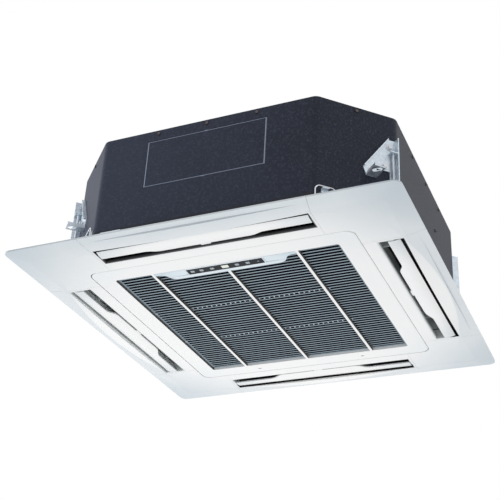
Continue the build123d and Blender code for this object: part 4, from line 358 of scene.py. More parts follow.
@dataclass(frozen=True)
class WhiteMoulding(Finish):
    """Satin white plastic with painted shade, a cooler grey, towards the corners, the front edge
    and the margin.

    The margin starts at the outline of the lens-shaped swellings outside the outlets. Upright
    faces in the seams are dull and carry painted shade, and so do the grille's faces that look
    sideways.
    """

    roughness: float = 0.38
    swing: float = 0.12
    specular: float = 0.4
    bright: Colour = (0.9, 0.905, 0.91)
    # the next colour is painted shade at the corners, the front edge and the margin; the one after
    # it is painted shade in the seams
    painted_shade: Colour = (0.56, 0.63, 0.68)
    seam_shade: Colour = (0.1, 0.095, 0.09)
    corner_reach: Pair = (0.5, 0.95)
    front: float = 0.0
    front_reach: Pair = (0.34, 0.47)
    margin: float = 0.0
    lens_reach: Pair = (0.4535, 0.4575)
    lens_round: float = 2.053
    seam_reach: Pair = (1.0, 1.0)
    seam_slope: float = 0.45
    seam_dulling: float = 0.3
    flank: float = 0.0
    flank_reach: float = 0.3
    flank_slope: float = 0.6
    flow: float = 0.11
    grain: float = 0.0006
    coat: float = 0.05
    coat_roughness: float = 0.25

    def build(self, shader: Shader) -> None:
        """Painted shade at the corners, front edge and margin, faint flow marks, painted shade in
        the seams, and a fine moulded grain.

        Args:
            shader: the shader to fill.
        """
        x, y, _ = shader.axes(shader.place)
        reach = abs(x).larger(abs(y))
        along = abs(x) + abs(y) - reach
        flow = shader.noise(self.flow, detail=2.0)
        # painted shade: cooler and darker towards the corners, along the front edge and outside
        # the lenses
        corner = (abs(x) + abs(y)).ramp(*self.corner_reach)
        edge = (-y).ramp(*self.front_reach) * self.front
        lens = (reach + along * along / self.lens_round).ramp(*self.lens_reach) * self.margin
        mask = corner.larger(edge).larger(lens) + flow.swing(self.swing)
        nx, _, nz = shader.facing()
        # painted shade: upright faces in the seams, and the grille's faces that look sideways, are
        # darkened
        start, end = self.seam_reach
        seam_shade = (abs(nz) < self.seam_slope) * (reach > start) * (reach < end)
        flank = (abs(nx) > self.flank_slope) * (reach < self.flank_reach) * self.flank
        dark = seam_shade.larger(flank)
        colour = shader.mixed(dark, shader.mixed(mask, self.bright, self.painted_shade), self.seam_shade)
        dulling = flow.swing(self.swing) + dark * self.seam_dulling
        self.settle(shader, colour, dulling, shader.noise(self.grain, detail=2.0))
        shader.finish(Coat_Weight=self.coat, Coat_Roughness=self.coat_roughness)


@dataclass(frozen=True)
class TexturedCoat(Finish):
    """Powder coat with a fine wrinkle, as on the casing, with painted light making it paler
    towards the left.
    """

    roughness: float = 0.52
    swing: float = 0.3
    specular: float = 0.16
    relief: float = 0.0007
    strength: float = 0.75
    colour: Colour = (0.0155, 0.0195, 0.033)
    speck: Colour = (0.058, 0.069, 0.104)
    tones: Pair = (0.5, 2.5)
    wrinkle: float = 0.0048
    speck_band: Pair = (0.46, 0.72)
    speck_share: float = 0.75
    cloud: float = 0.16
    cloud_share: float = 0.4
    painted_light_side: Pair = (-0.42, 0.42)

    def build(self, shader: Shader) -> None:
        """Wrinkled coat with lighter specks, slow clouding and painted light towards the left.

        Args:
            shader: the shader to fill.
        """
        wrinkle = shader.noise(self.wrinkle, detail=5.0, roughness=0.68)
        x, _, _ = shader.axes(shader.place)
        # painted light: the coat turns paler towards the left, as if lit from that side
        side = (-x).ramp(*self.painted_light_side)
        cloud = shader.noise(self.cloud) * self.cloud_share + side * (1.0 - self.cloud_share)
        base = shader.toned(cloud, self.colour, self.tones)
        speck = wrinkle.ramp(*self.speck_band) * self.speck_share
        colour = self.worn(shader, shader.mixed(speck, base, self.speck))
        self.settle(shader, colour, wrinkle.swing(self.swing), wrinkle)

    def worn(self, shader: Shader, coat: Link) -> Link:
        """The coat's colour with its wear, none here."""
        return coat


@dataclass(frozen=True)
class RubbedCoat(TexturedCoat):
    """The same coat on an upright plate whose cut edges are rubbed pale."""

    middle: Pair = (0.0, 0.0)
    half: Pair = (1.0, 1.0)
    rim: float = 0.0024
    bare: Colour = (0.27, 0.31, 0.42)

    def worn(self, shader: Shader, coat: Link) -> Link:
        """Adds the pale rim.

        Args:
            shader: the shader to fill.
            coat: colour of the whole coat.

        Returns:
            The colour to use.
        """
        x, _, z = shader.axes(shader.place)
        across = abs(x - self.middle[0]) > self.half[0] - self.rim
        up = abs(z - self.middle[1]) > self.half[1] - self.rim
        return shader.mixed(across.larger(up), coat, self.bare)


@dataclass(frozen=True)
class PanFoam(Finish):
    """Pale foam of the drain pan, dark on the faces that close the casing below.

    Round the front outlet the foam carries painted shade.
    """

    roughness: float = 0.8
    specular: float = 0.25
    relief: float = 0.0002
    skin: Colour = (0.018, 0.02, 0.031)
    skin_tones: Pair = (0.7, 1.3)
    skin_polish: float = 0.2
    foam: Colour = (0.82, 0.86, 0.86)
    foam_tones: Pair = (0.85, 1.1)
    painted_front_shade: Colour = (0.03, 0.032, 0.034)
    painted_front_shade_reach: float = 0.3
    reach: float = 0.415
    diagonal: float = 1.0
    bead: float = 0.003
    bead_share: float = 0.6
    mottle: float = 0.05

    def build(self, shader: Shader) -> None:
        """Foam beads inside and a dull dark skin outside.

        Args:
            shader: the shader to fill.
        """
        x, y, _ = shader.axes(shader.place)
        outer = (abs(x).larger(abs(y)) > self.reach).larger(abs(x) + abs(y) > self.diagonal)
        bead = shader.beads(self.bead)
        tone = shader.noise(self.mottle)
        mask = bead * self.bead_share + tone * (1.0 - self.bead_share)
        foam = shader.toned(mask, self.foam, self.foam_tones)
        # painted shade: the foam round the front outlet is turned near black
        foam = shader.mixed(y < -self.painted_front_shade_reach, foam, self.painted_front_shade)
        skin = shader.toned(tone, self.skin, self.skin_tones)
        self.settle(shader, shader.mixed(outer, foam, skin), outer * -self.skin_polish, bead)


@dataclass(frozen=True)
class Galvanised(Finish):
    """Zinc-coated sheet with a faint spangle."""

    roughness: float = 0.34
    swing: float = 0.16
    colour: Colour = (0.71, 0.79, 0.86)
    tones: Pair = (0.8, 1.14)
    spangle: float = 0.006
    spangle_share: float = 0.55
    streak: float = 0.002
    streak_pull: Point = (1.0, 1.0, 0.1)
    streak_share: float = 0.2
    bloom: float = 0.03
    bloom_colour: Colour = (0.78, 0.82, 0.86)
    bloom_band: Pair = (0.45, 0.75)
    bloom_share: float = 0.35
    bloom_dulling: float = 0.25
    metallic: float = 0.75

    def build(self, shader: Shader) -> None:
        """Spangle cells with rolled streaks and a dull bloom.

        Args:
            shader: the shader to fill.
        """
        tone = shader.axes(shader.cells(self.spangle, "Color"))[0]
        streak = shader.noise(self.streak, detail=2.0, where=shader.stretched(self.streak_pull))
        bloom = shader.noise(self.bloom).ramp(*self.bloom_band)
        mask = tone * self.spangle_share + streak * self.streak_share
        colour = shader.toned(mask, self.colour, self.tones)
        colour = shader.mixed(bloom * self.bloom_share, colour, self.bloom_colour)
        shader.finish(Metallic=self.metallic - bloom * self.bloom_dulling)
        self.settle(shader, colour, tone * self.swing, streak)


@dataclass(frozen=True)
class TurnedMetal(Finish):
    """Bare or plated metal with fine tool marks."""

    roughness: float = 0.26
    swing: float = 0.14
    relief: float = 0.00002
    colour: Colour = (0.62, 0.63, 0.66)
    tones: Pair = (0.86, 1.1)
    mark: float = 0.0012
    mark_pull: Point = (1.0, 1.0, 6.0)
    stain: float = 0.014
    stain_band: Pair = (0.45, 0.8)
    stain_tone: float = 0.5
    stain_dulling: float = 0.12
    tarnish: float = 0.25

    def build(self, shader: Shader) -> None:
        """Fine marks in one direction with slight tarnish.

        Args:
            shader: the shader to fill.
        """
        marks = shader.noise(self.mark, where=shader.stretched(self.mark_pull))
        stain = shader.noise(self.stain, detail=4.0).ramp(*self.stain_band)
        clean = shader.toned(marks, self.colour, self.tones)
        stained = shade(self.colour, self.stain_tone)
        colour = shader.mixed(stain * self.tarnish, clean, stained)
        shader.finish(Metallic=1.0)
        self.settle(shader, colour, marks * self.swing + stain * self.stain_dulling, marks)


@dataclass(frozen=True)
class DullPlastic(Finish):
    """Plain moulded plastic with grain and faint scuffs."""

    roughness: float = 0.52
    specular: float = 0.4
    relief: float = 0.00006
    strength: float = 0.6
    colour: Colour = (0.12, 0.12, 0.13)
    tones: Pair = (0.8, 1.22)
    grain: float = 0.0008
    mottle: float = 0.05
    mottle_share: float = 0.7

    def build(self, shader: Shader) -> None:
        """Grained plastic with a slow change of tone.

        Args:
            shader: the shader to fill.
        """
        grain = shader.noise(self.grain, detail=2.0)
        tone = shader.noise(self.mottle)
        mask = tone * self.mottle_share + grain * (1.0 - self.mottle_share)
        colour = shader.toned(mask, self.colour, self.tones)
        self.settle(shader, colour, tone.swing(self.swing), grain)


@dataclass(frozen=True)
class GrilleBlades(Finish):
    """Teal-grey slats with pale cross ties, dusty undersides and painted shade on their flanks."""

    roughness: float = 0.6
    specular: float = 0.08
    relief: float = 0.00004
    face: Colour = (0.27, 0.335, 0.385)
    tones: Pair = (0.82, 1.2)
    # painted shade on the flanks between the slats
    side: Colour = (0.006, 0.009, 0.014)
    tie: Colour = (0.5, 0.56, 0.62)
    tie_rows: Pair = (-0.075, 0.1)
    tie_half: float = 0.00375
    underside: Pair = (0.5, 0.9)
    dust: float = 0.02
    grain: float = 0.0007

    def build(self, shader: Shader) -> None:
        """Pale lower edges, painted shade on the flanks, and pale ties in their two rows.

        Args:
            shader: the shader to fill.
        """
        _, y, _ = shader.axes(shader.place)
        near, far = (abs(y - row) < self.tie_half for row in self.tie_rows)
        dust = shader.noise(self.dust, detail=4.0)
        face = shader.toned(dust, self.face, self.tones)
        face = shader.mixed(near.larger(far), face, self.tie)
        # painted shade: faces that don't look down take the dark flank colour
        down = (-shader.facing()[2]).ramp(*self.underside)
        colour = shader.mixed(down, self.side, face)
        self.settle(shader, colour, dust.swing(self.swing), shader.noise(self.grain, detail=2.0))


@dataclass(frozen=True)
class FinStack(Finish):
    """Thin upright fins with their edges bright and painted shade in the gaps between them."""

    roughness: float = 0.38
    swing: float = 0.15
    relief: float = 0.0004
    strength: float = 0.7
    metal: Colour = (0.66, 0.68, 0.7)
    tones: Pair = (0.75, 1.1)
    # painted shade between the fins
    gap: Colour = (0.03, 0.032, 0.035)
    pitch: float = 0.0018
    gap_band: Pair = (0.16, 0.34)
    level: Pair = (0.5, 0.9)
    wave: float = 0.02
    metallic: float = 0.8

    def build(self, shader: Shader) -> None:
        """Stripes that run up the block on every side.

        Args:
            shader: the shader to fill.
        """
        x, y, _ = shader.axes(shader.place)
        nx, ny, nz = shader.facing()
        along_x = abs(ny) > abs(nx)
        where = x * along_x + y * (1.0 - along_x)
        # painted shade: dark stripes for the gaps between the fins
        gap = where.stripes(self.pitch, self.gap_band)
        edge = 1.0 - gap * (1.0 - abs(nz).ramp(*self.level))
        wave = shader.noise(self.wave)
        metal = shader.toned(wave, self.metal, self.tones)
        shader.finish(Metallic=edge * self.metallic)
        self.settle(shader, shader.mixed(edge, self.gap, metal), wave * self.swing, edge)


@dataclass(frozen=True)
class FilterNet(Finish):
    """Fine woven filter cloth in its dark grid, its openings painted with the shade of the inside
    behind.
    """

    roughness: float = 0.7
    specular: float = 0.1
    relief: float = 0.00025
    strength: float = 0.8
    thread: Colour = (0.045, 0.05, 0.06)
    tones: Pair = (1.0, 1.8)
    # painted shade of the dark inside, seen through the openings
    gap: Colour = (0.006, 0.007, 0.01)
    pitch: float = 0.0011
    thread_band: Pair = (0.2, 0.38)
    dust: float = 0.03

    def build(self, shader: Shader) -> None:
        """Crossing threads with faint dust.

        Args:
            shader: the shader to fill.
        """
        x, y, _ = shader.axes(shader.place)
        along = y.stripes(self.pitch, self.thread_band)
        weave = x.stripes(self.pitch, self.thread_band).larger(along)
        dust = shader.noise(self.dust, detail=4.0)
        thread = shader.toned(dust, self.thread, self.tones)
        # painted shade fills the openings between the threads
        colour = shader.mixed(weave, self.gap, thread)
        self.settle(shader, colour, dust.swing(self.swing), weave)


@dataclass(frozen=True)
class Foam(Finish):
    """Moulded insulating foam with beads and a pressed skin."""

    roughness: float = 0.85
    swing: float = 0.1
    specular: float = 0.25
    relief: float = 0.0003
    colour: Colour = (0.5, 0.51, 0.53)
    tones: Pair = (0.86, 1.12)
    groove_tone: float = 0.7
    bead: float = 0.0035
    mottle: float = 0.04

    def build(self, shader: Shader) -> None:
        """Bead outlines over a soft change of tone.

        Args:
            shader: the shader to fill.
        """
        bead = shader.beads(self.bead)
        tone = shader.noise(self.mottle)
        skin = shader.toned(tone, self.colour, self.tones)
        colour = shader.mixed(bead, shade(self.colour, self.groove_tone), skin)
        self.settle(shader, colour, tone.swing(self.swing), bead)


@dataclass(frozen=True)
class DuctPlastic(Finish):
    """Plastic of the outlet ducts, grey at the mouth, with painted shade that turns it near black
    beyond.

    The painted shade comes further down in the front duct, and on the outer walls but the left
    one.
    """

    roughness: float = 0.6
    specular: float = 0.2
    relief: float = 0.00006
    mouth: Colour = (0.72, 0.76, 0.765)
    painted_deep_shade: Colour = (0.004, 0.005, 0.007)
    painted_shade_height: Pair = (0.06, 0.1)
    front_from: float = 0.34
    front_drop: float = 0.106
    outer_from: float = 0.4
    outer_drop: float = 0.14
    left_from: float = 0.36
    dust: float = 0.03
    grain: float = 0.0008

    def build(self, shader: Shader) -> None:
        """Painted shade that darkens with height, and a little dust.

        Args:
            shader: the shader to fill.
        """
        x, y, z = shader.axes(shader.place)
        # painted shade: darker with height, sooner in the front duct and on the outer walls but
        # the left one
        outer = (abs(x).larger(abs(y)) > self.outer_from) * (x > -self.left_from)
        height = z + (y < -self.front_from) * self.front_drop + outer * self.outer_drop
        dust = shader.noise(self.dust, detail=4.0)
        mouth = shader.toned(dust, self.mouth, self.tones)
        colour = shader.mixed(height.ramp(*self.painted_shade_height), mouth, self.painted_deep_shade)
        self.settle(shader, colour, dust.swing(self.swing), shader.noise(self.grain, detail=2.0))


@dataclass(frozen=True)
class SmokedWindow(Finish):
    """Glossy black display strip with faint wipe marks."""

    roughness: float = 0.16
    swing: float = 0.16
    specular: float = 0.12
    relief: float = 0.00002
    strength: float = 0.3
    colour: Colour = (0.004, 0.006, 0.009)
    tones: Pair = (1.0, 2.2)
    smear: float = 0.012
    smear_pull: Point = (0.25, 1.0, 1.0)
    smear_band: Pair = (0.45, 0.8)
    wave: float = 0.03

    def build(self, shader: Shader) -> None:
        """Deep black with long soft smears in its gloss.

        Args:
            shader: the shader to fill.
        """
        smear = shader.noise(self.smear, where=shader.stretched(self.smear_pull))
        colour = shader.toned(smear, self.colour, self.tones)
        wiped = smear.ramp(*self.smear_band) * self.swing
        self.settle(shader, colour, wiped, shader.noise(self.wave, detail=1.0))


@dataclass(frozen=True)
class CircuitBoard(Finish):
    """Green board with tracks and solder points; parts below it are dark."""

    roughness: float = 0.34
    relief: float = 0.00004
    mask: Colour = (0.012, 0.11, 0.045)
    track: Colour = (0.03, 0.2, 0.08)
    track_pitch: float = 0.0024
    track_band: Pair = (0.18, 0.26)
    block: float = 0.011
    solder: Colour = (0.6, 0.6, 0.58)
    solder_cell: float = 0.0052
    solder_band: Pair = (0.14, 0.2)
    solder_polish: float = 0.1
    part: Colour = (0.02, 0.02, 0.022)
    part_tones: Pair = (1.0, 2.5)
    part_mottle: float = 0.02
    part_dulling: float = 0.2
    under: float = 0.0

    def build(self, shader: Shader) -> None:
        """Tracks in two directions, solder dots, and dark parts below the board.

        Args:
            shader: the shader to fill.
        """
        x, y, z = shader.axes(shader.place)
        turn = shader.axes(shader.cells(self.block, "Color"))[0] > 0.5
        where = x * turn + y * (1.0 - turn)
        bare = where.stripes(self.track_pitch, self.track_band)
        dot = 1.0 - shader.cells(self.solder_cell).ramp(*self.solder_band)
        board = shader.mixed(dot, shader.mixed(bare, self.track, self.mask), self.solder)
        part = shader.toned(shader.noise(self.part_mottle), self.part, self.part_tones)
        below = z < self.under
        change = below * self.part_dulling - dot * self.solder_polish
        self.settle(shader, shader.mixed(below, board, part), change, bare)


@dataclass(frozen=True)
class SoftRubber(Finish):
    """Matt rubber or closed-cell strip."""

    roughness: float = 0.78
    specular: float = 0.3
    relief: float = 0.00015
    strength: float = 0.6
    colour: Colour = (0.025, 0.025, 0.027)
    tones: Pair = (1.0, 2.6)
    grain: float = 0.0012
    bloom: float = 0.025
    bloom_band: Pair = (0.45, 0.8)
    bloom_share: float = 0.4

    def build(self, shader: Shader) -> None:
        """Fine pores with a powdery bloom.

        Args:
            shader: the shader to fill.
        """
        pore = shader.noise(self.grain, roughness=0.65)
        bloom = shader.noise(self.bloom).ramp(*self.bloom_band) * self.bloom_share
        colour = shader.toned(bloom, self.colour, self.tones)
        self.settle(shader, colour, pore.swing(self.swing), pore)


@dataclass(frozen=True)
class Glow(Finish):
    """A small lit or pale mark behind the display strip."""

    roughness: float = 0.25
    swing: float = 0.1
    relief: float = 0.00002
    strength: float = 0.3
    colour: Colour = (0.3, 0.36, 0.4)
    tones: Pair = (0.8, 1.25)
    mottle: float = 0.003
    light: float = 0.0

    def build(self, shader: Shader) -> None:
        """Soft, slightly uneven mark.

        Args:
            shader: the shader to fill.
        """
        tone = shader.noise(self.mottle, detail=2.0)
        colour = shader.toned(tone, self.colour, self.tones)
        shader.finish(Emission_Color=colour, Emission_Strength=self.light)
        self.settle(shader, colour, tone * self.swing, tone)


@dataclass(frozen=True)
class FadingFloor(DullPlastic):
    """Pale matt floor that keeps shadows near the unit and fades into white far from it."""

    fade_reach: Pair = (1.6, 5.0)

    def build(self, shader: Shader) -> None:
        """Matt plastic under a white veil that only the view and reflections meet.

        Args:
            shader: the shader to fill.
        """
        super().build(shader)
        settings = {"operation": "LENGTH"}
        reach = shader.node("ShaderNodeVectorMath", settings, {0: shader.place}, "Value")
        veil = reach.ramp(*self.fade_reach) * shader.seen()
        white = shader.node("ShaderNodeEmission", None, {"Color": WHITE, "Strength": 1.0})
        inputs = {0: veil, 1: shader.surface, 2: white}
        shader.show(shader.node("ShaderNodeMixShader", None, inputs))


class Palette(Enum):
    """Every finish of the unit; the value is the finish."""

    CASING = TexturedCoat()
    LID = TexturedCoat(colour=(0.05, 0.052, 0.072))
    LINER = Foam()
    ZINC_SHEET = Galvanised()
    ZINC_SCREW = TurnedMetal(colour=(0.62, 0.64, 0.68), roughness=0.24)
    DARK_SCREW = TurnedMetal(colour=(0.11, 0.095, 0.095), roughness=0.4)
    WIRE = TurnedMetal(colour=(0.68, 0.70, 0.73), roughness=0.18, tarnish=0.15)
    SHAFT = TurnedMetal(colour=(0.58, 0.58, 0.6), roughness=0.22)
    BEARING = TurnedMetal(colour=(0.7, 0.7, 0.72), roughness=0.12, tarnish=0.05)
    COPPER = TurnedMetal(colour=(0.75, 0.36, 0.21), roughness=0.28, tarnish=0.4)
    BRASS = TurnedMetal(colour=(0.76, 0.57, 0.25), roughness=0.22, mark_pull=(1.0, 6.0, 1.0))
    PANEL = WhiteMoulding(front=0.75, margin=0.55)
    # the grille's seams and side faces and the louvres' outer edge gaps carry painted shade
    GRILLE = WhiteMoulding(painted_shade=(0.8, 0.84, 0.86), corner_reach=(0.45, 0.72),
                           seam_reach=(0.328, 0.34), flank=1.0)
    LOUVRE = WhiteMoulding(painted_shade=(0.66, 0.71, 0.74), corner_reach=(0.52, 0.72),
                           seam_reach=(0.411, 0.42))
    # the wing's darker blue ends are painted shade of its sloping side facets
    WING = WhiteMoulding(bright=(0.72, 0.8, 0.86), painted_shade=(0.58, 0.69, 0.76),
                         corner_reach=(0.38, 0.46))
    DUCT = DuctPlastic()
    SLATS = GrilleBlades()
    FILTER = FilterNet()
    STRIP = SmokedWindow()
    BUTTON = DullPlastic(colour=(0.2, 0.23, 0.26), roughness=0.35)
    SEAL = SoftRubber(colour=(0.04, 0.04, 0.042), grain=0.0018)
    RUBBER = SoftRubber()
    MOTOR = TexturedCoat(colour=(0.12, 0.12, 0.125), speck=(0.2, 0.2, 0.21), wrinkle=0.0008,
                         relief=0.0002)
    FAN = DullPlastic(colour=(0.3, 0.31, 0.33), roughness=0.48)
    FINS = FinStack()
    BELL = DullPlastic(colour=(0.1, 0.1, 0.11), roughness=0.5)
    PUMP = DullPlastic(colour=(0.17, 0.17, 0.18))
    FLOAT = Foam(colour=(0.78, 0.78, 0.76), bead=0.0015)
    HOSE = DullPlastic(colour=(0.5, 0.53, 0.54), roughness=0.3, grain=0.004)
    GLAND = DullPlastic(colour=(0.22, 0.22, 0.23), roughness=0.45)
    TERMINAL = DullPlastic(colour=(0.66, 0.63, 0.52), roughness=0.4)
    MARK = Glow()
    MARK_LIT = Glow(colour=(0.7, 0.74, 0.66), light=0.1)
    # painted shade of the screw heads' cross recesses
    RECESS = DullPlastic(colour=(0.03, 0.03, 0.032), roughness=0.7)
    FLOOR = FadingFloor(colour=(0.93, 0.93, 0.93), roughness=0.85, grain=0.004, relief=0.00001)

    @property
    def material(self) -> bpy.types.Material:
        """The finish as a Blender material."""
        return self.value.material(self.name.lower())


# ---------------- helpers for meshes
def dress(finish: Palette | Finish, *names: str) -> None:
    """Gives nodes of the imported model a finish.

    Args:
        finish: one of the palette, or one that is fitted to the node's own place and size.
        names: names of the nodes.
    """
    fitted = isinstance(finish, Finish)
    for name in names:
        material = finish.material(f"{name}_finish") if fitted else finish.material
        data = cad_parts[name].data
        data.materials.clear()
        data.materials.append(material)
        log.info("%s: %s", name, material.name)


def dress_board(name: str, thick: float) -> None:
    """Gives a circuit board its tracks, with dark parts under the bare board's thickness."""
    dress(CircuitBoard(under=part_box(name)[1].z - thick), name)


def add_piece(name: str, mesh: bmesh.types.BMesh, body: str, finish: Palette) -> None:
    """Makes a piece from a bmesh, dresses it and lets it ride on a body.

    Args:
        name: name of the piece.
        mesh: its shape; it is freed.
        body: body that carries it.
        finish: what it gets.
    """
    bmesh.ops.recalc_face_normals(mesh, faces=mesh.faces)
    data = bpy.data.meshes.new(name)
    mesh.to_mesh(data)
    mesh.free()
    data.materials.append(finish.material)
    piece = bpy.data.objects.new(name, data)
    bpy.context.scene.collection.objects.link(piece)
    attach(piece, body)
    log.info("%s rides on %s: %d faces", name, body, len(data.polygons))


def islands(name: str) -> list[list[Vector]]:
    """Separate solids of a node, as lists of their corners.

    Args:
        name: name of the node.

    Returns:
        One list of corners for each solid, in a steady order.
    """
    mesh = bmesh.new()
    mesh.from_mesh(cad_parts[name].data)
    bmesh.ops.remove_doubles(mesh, verts=mesh.verts, dist=WELD)
    left = set(mesh.verts)
    found = []
    for start in mesh.verts:
        if start not in left:
            continue
        left.discard(start)
        group, reach = [], [start]
        while reach:
            vertex = reach.pop()
            group.append(vertex.co.copy())
            for edge in vertex.link_edges:
                other = edge.other_vert(vertex)
                if other in left:
                    left.discard(other)
                    reach.append(other)
        found.append(group)
    mesh.free()
    return found


def corners(points: Iterable[Vector]) -> tuple[Vector, Vector]:
    """Lowest and highest corner of the box round some points."""
    along = list(zip(*points))
    return Vector(map(min, along)), Vector(map(max, along))


def rounded_plate(mesh: bmesh.types.BMesh, size: Pair, thick: float, radius: float,
                  place: Matrix, steps: int = 4) -> None:
    """Adds a flat plate with rounded corners, standing on its own plane.

    Args:
        mesh: shape to add to.
        size: width and depth.
        thick: thickness along the plane's Z.
        radius: radius of the corners.
        place: where its middle goes.
        steps: steps in each corner.
    """
    half_x, half_y = size[0] / 2 - radius, size[1] / 2 - radius
    outline = []
    for quarter, (sx, sy) in enumerate(((1, 1), (-1, 1), (-1, -1), (1, -1))):
        for step in range(steps + 1):
            angle = math.pi / 2 * (quarter + step / steps)
            x = sx * half_x + radius * math.cos(angle)
            y = sy * half_y + radius * math.sin(angle)
            outline.append((x, y))
    foot, top = ([mesh.verts.new(place @ Vector((x, y, z))) for x, y in outline]
                 for z in (0.0, thick))
    mesh.faces.new(foot)
    mesh.faces.new(top)
    for n, vertex in enumerate(foot):
        after = (n + 1) % len(foot)
        mesh.faces.new((vertex, foot[after], top[after], top[n]))


# ---------------- sub-assemblies
@dataclass
class Casing:
    """Octagonal steel casing with its lid, base, liner and outside fittings."""

    pan_wall: float = 4 * MM
    pan_chamfer_wall: float = 5 * MM
    recess_width: float = 0.9 * MM
    recess_reach: float = 2.5 * MM
    recess_depth: float = 0.08 * MM
    recess_corner: float = 0.35
    screw_end: float = 0.3
    stud_least: float = 50 * MM
    shank_slice: float = 1 * MM
    thread_foot: float = 12 * MM
    thread_top: float = 8 * MM
    thread_pitch: float = 1.25 * MM
    thread_depth: float = 0.32 * MM
    thread_sunk: float = 0.05 * MM
    thread_half: float = 0.36
    thread_steps: int = 14

    def dress(self) -> None:
        """Gives every node of the casing its finish."""
        dress(Palette.CASING, "front_back_walls", "side_walls", "pipe_plate")
        dress(Palette.LID, "casing_top")
        dress(Palette.LINER, "foam_liner")
        dress(Palette.ZINC_SHEET, "hanger_brackets", "base_clips")
        dress(Palette.ZINC_SCREW, "bracket_bolts", "panel_studs")
        dress(Palette.DARK_SCREW, "sheet_screws")
        dress(Palette.GLAND, "cable_gland", "drain_socket")
        low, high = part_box("duct_knockout")
        middle, half = (low + high) / 2, (high - low) / 2
        plate = RubbedCoat(middle=(middle.x, middle.z), half=(half.x, half.z))
        dress(plate, "duct_knockout")
        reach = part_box("drain_pan")[1].x - self.pan_wall
        diagonal = max(abs(p.x) + abs(p.y) for group in islands("drain_pan") for p in group)
        dress(PanFoam(reach=reach, diagonal=diagonal - self.pan_chamfer_wall), "drain_pan")

    def screw_heads(self) -> list[Matrix]:
        """Where each sheet screw's head ends, its Z pointing out of the head.

        Returns:
            One placement for each screw.
        """
        frames = []
        for group in islands("sheet_screws"):
            low, high = corners(group)
            middle = (low + high) / 2
            axis = self._axis(group, middle)
            top = max((p - middle).dot(axis) for p in group)
            centre = sum(group, Vector((0, 0, 0))) / len(group)
            head = centre + axis * ((middle - centre).dot(axis) + top)
            turn = axis.to_track_quat("Z", "Y").to_matrix().to_4x4()
            frames.append(Matrix.Translation(head) @ turn)
        return frames

    def _axis(self, group: list[Vector], middle: Vector) -> Vector:
        """Direction from a screw's tip to its head.

        Args:
            group: corners of the screw.
            middle: middle of its box.

        Returns:
            The unit direction.
        """
        best, length = Vector((0, 0, 1)), 0.0
        for choice in ((0, 0, 1), (1, 0, 0), (0, 1, 0), (1, 1, 0), (1, -1, 0)):
            direction = Vector(choice).normalized()
            reach = [(p - middle).dot(direction) for p in group]
            if max(reach) - min(reach) > length + WELD:
                best, length = direction, max(reach) - min(reach)
        widths = [0.0, 0.0]
        for p in group:
            offset = (p - middle).dot(best)
            if abs(offset) > length * self.screw_end:
                aside = (p - middle - best * offset).length
                widths[offset > 0] = max(widths[offset > 0], aside)
        return best if widths[1] > widths[0] else -best

    def screw_recesses(self) -> None:
        """Makes thin dark plates in the screw heads, painted shade standing in for their cross
        recesses.
        """
        mesh = bmesh.new()
        bar = (2 * self.recess_reach, self.recess_width)
        radius = self.recess_width * self.recess_corner
        sunk = Matrix.Translation((0, 0, -self.recess_depth / 2))
        for head in self.screw_heads():
            for turn in (0.0, math.pi / 2):
                place = head @ sunk @ Matrix.Rotation(turn, 4, "Z")
                # painted shade: a thin dark plate for each bar of the cross
                rounded_plate(mesh, bar, self.recess_depth, radius, place, 2)
        add_piece("screw_recesses", mesh, "casing", Palette.RECESS)

    def stud_threads(self) -> None:
        """Makes the rolled threads on the four long panel studs."""
        mesh = bmesh.new()
        for group in islands("panel_studs"):
            low, high = corners(group)
            if high.z - low.z < self.stud_least:
                continue
            foot, top = corners(p for p in group if p.z < low.z + self.shank_slice)
            radius = (top.x - foot.x) / 2
            start, end = low.z + self.thread_foot, high.z - self.thread_top
            self._thread(mesh, (foot + top) / 2, radius, start, end)
        add_piece("stud_threads", mesh, "casing", Palette.ZINC_SCREW)

    def _thread(self, mesh: bmesh.types.BMesh, middle: Vector, radius: float, start: float,
                end: float) -> None:
        """Adds one helical ridge round a vertical rod.

        Args:
            mesh: shape to add to.
            middle: a point on the rod's axis.
            radius: the rod's radius.
            start: height where the thread begins.
            end: height where it ends.
        """
        steps, sunk = self.thread_steps, self.thread_sunk
        count = int((end - start) / self.thread_pitch * steps)
        half = self.thread_pitch * self.thread_half
        previous = None
        for n in range(count + 1):
            angle = 2 * math.pi * n / steps
            z = start + self.thread_pitch * n / steps
            crest = self.thread_depth * min(1.0, n / steps, (count - n) / steps)
            ring = []
            for rise, out in ((-half, -sunk), (0.0, crest), (half, -sunk)):
                x = middle.x + (radius + out) * math.cos(angle)
                y = middle.y + (radius + out) * math.sin(angle)
                ring.append(mesh.verts.new((x, y, z + rise)))
            if previous:
                for a, b in ((0, 1), (1, 2), (2, 0)):
                    mesh.faces.new((previous[a], previous[b], ring[b], ring[a]))
            else:
                mesh.faces.new(ring)
            previous = ring
        mesh.faces.new(previous)

    def build(self) -> None:
        """Dresses the casing and adds its small pieces."""
        self.dress()
        self.screw_recesses()
        self.stud_threads()


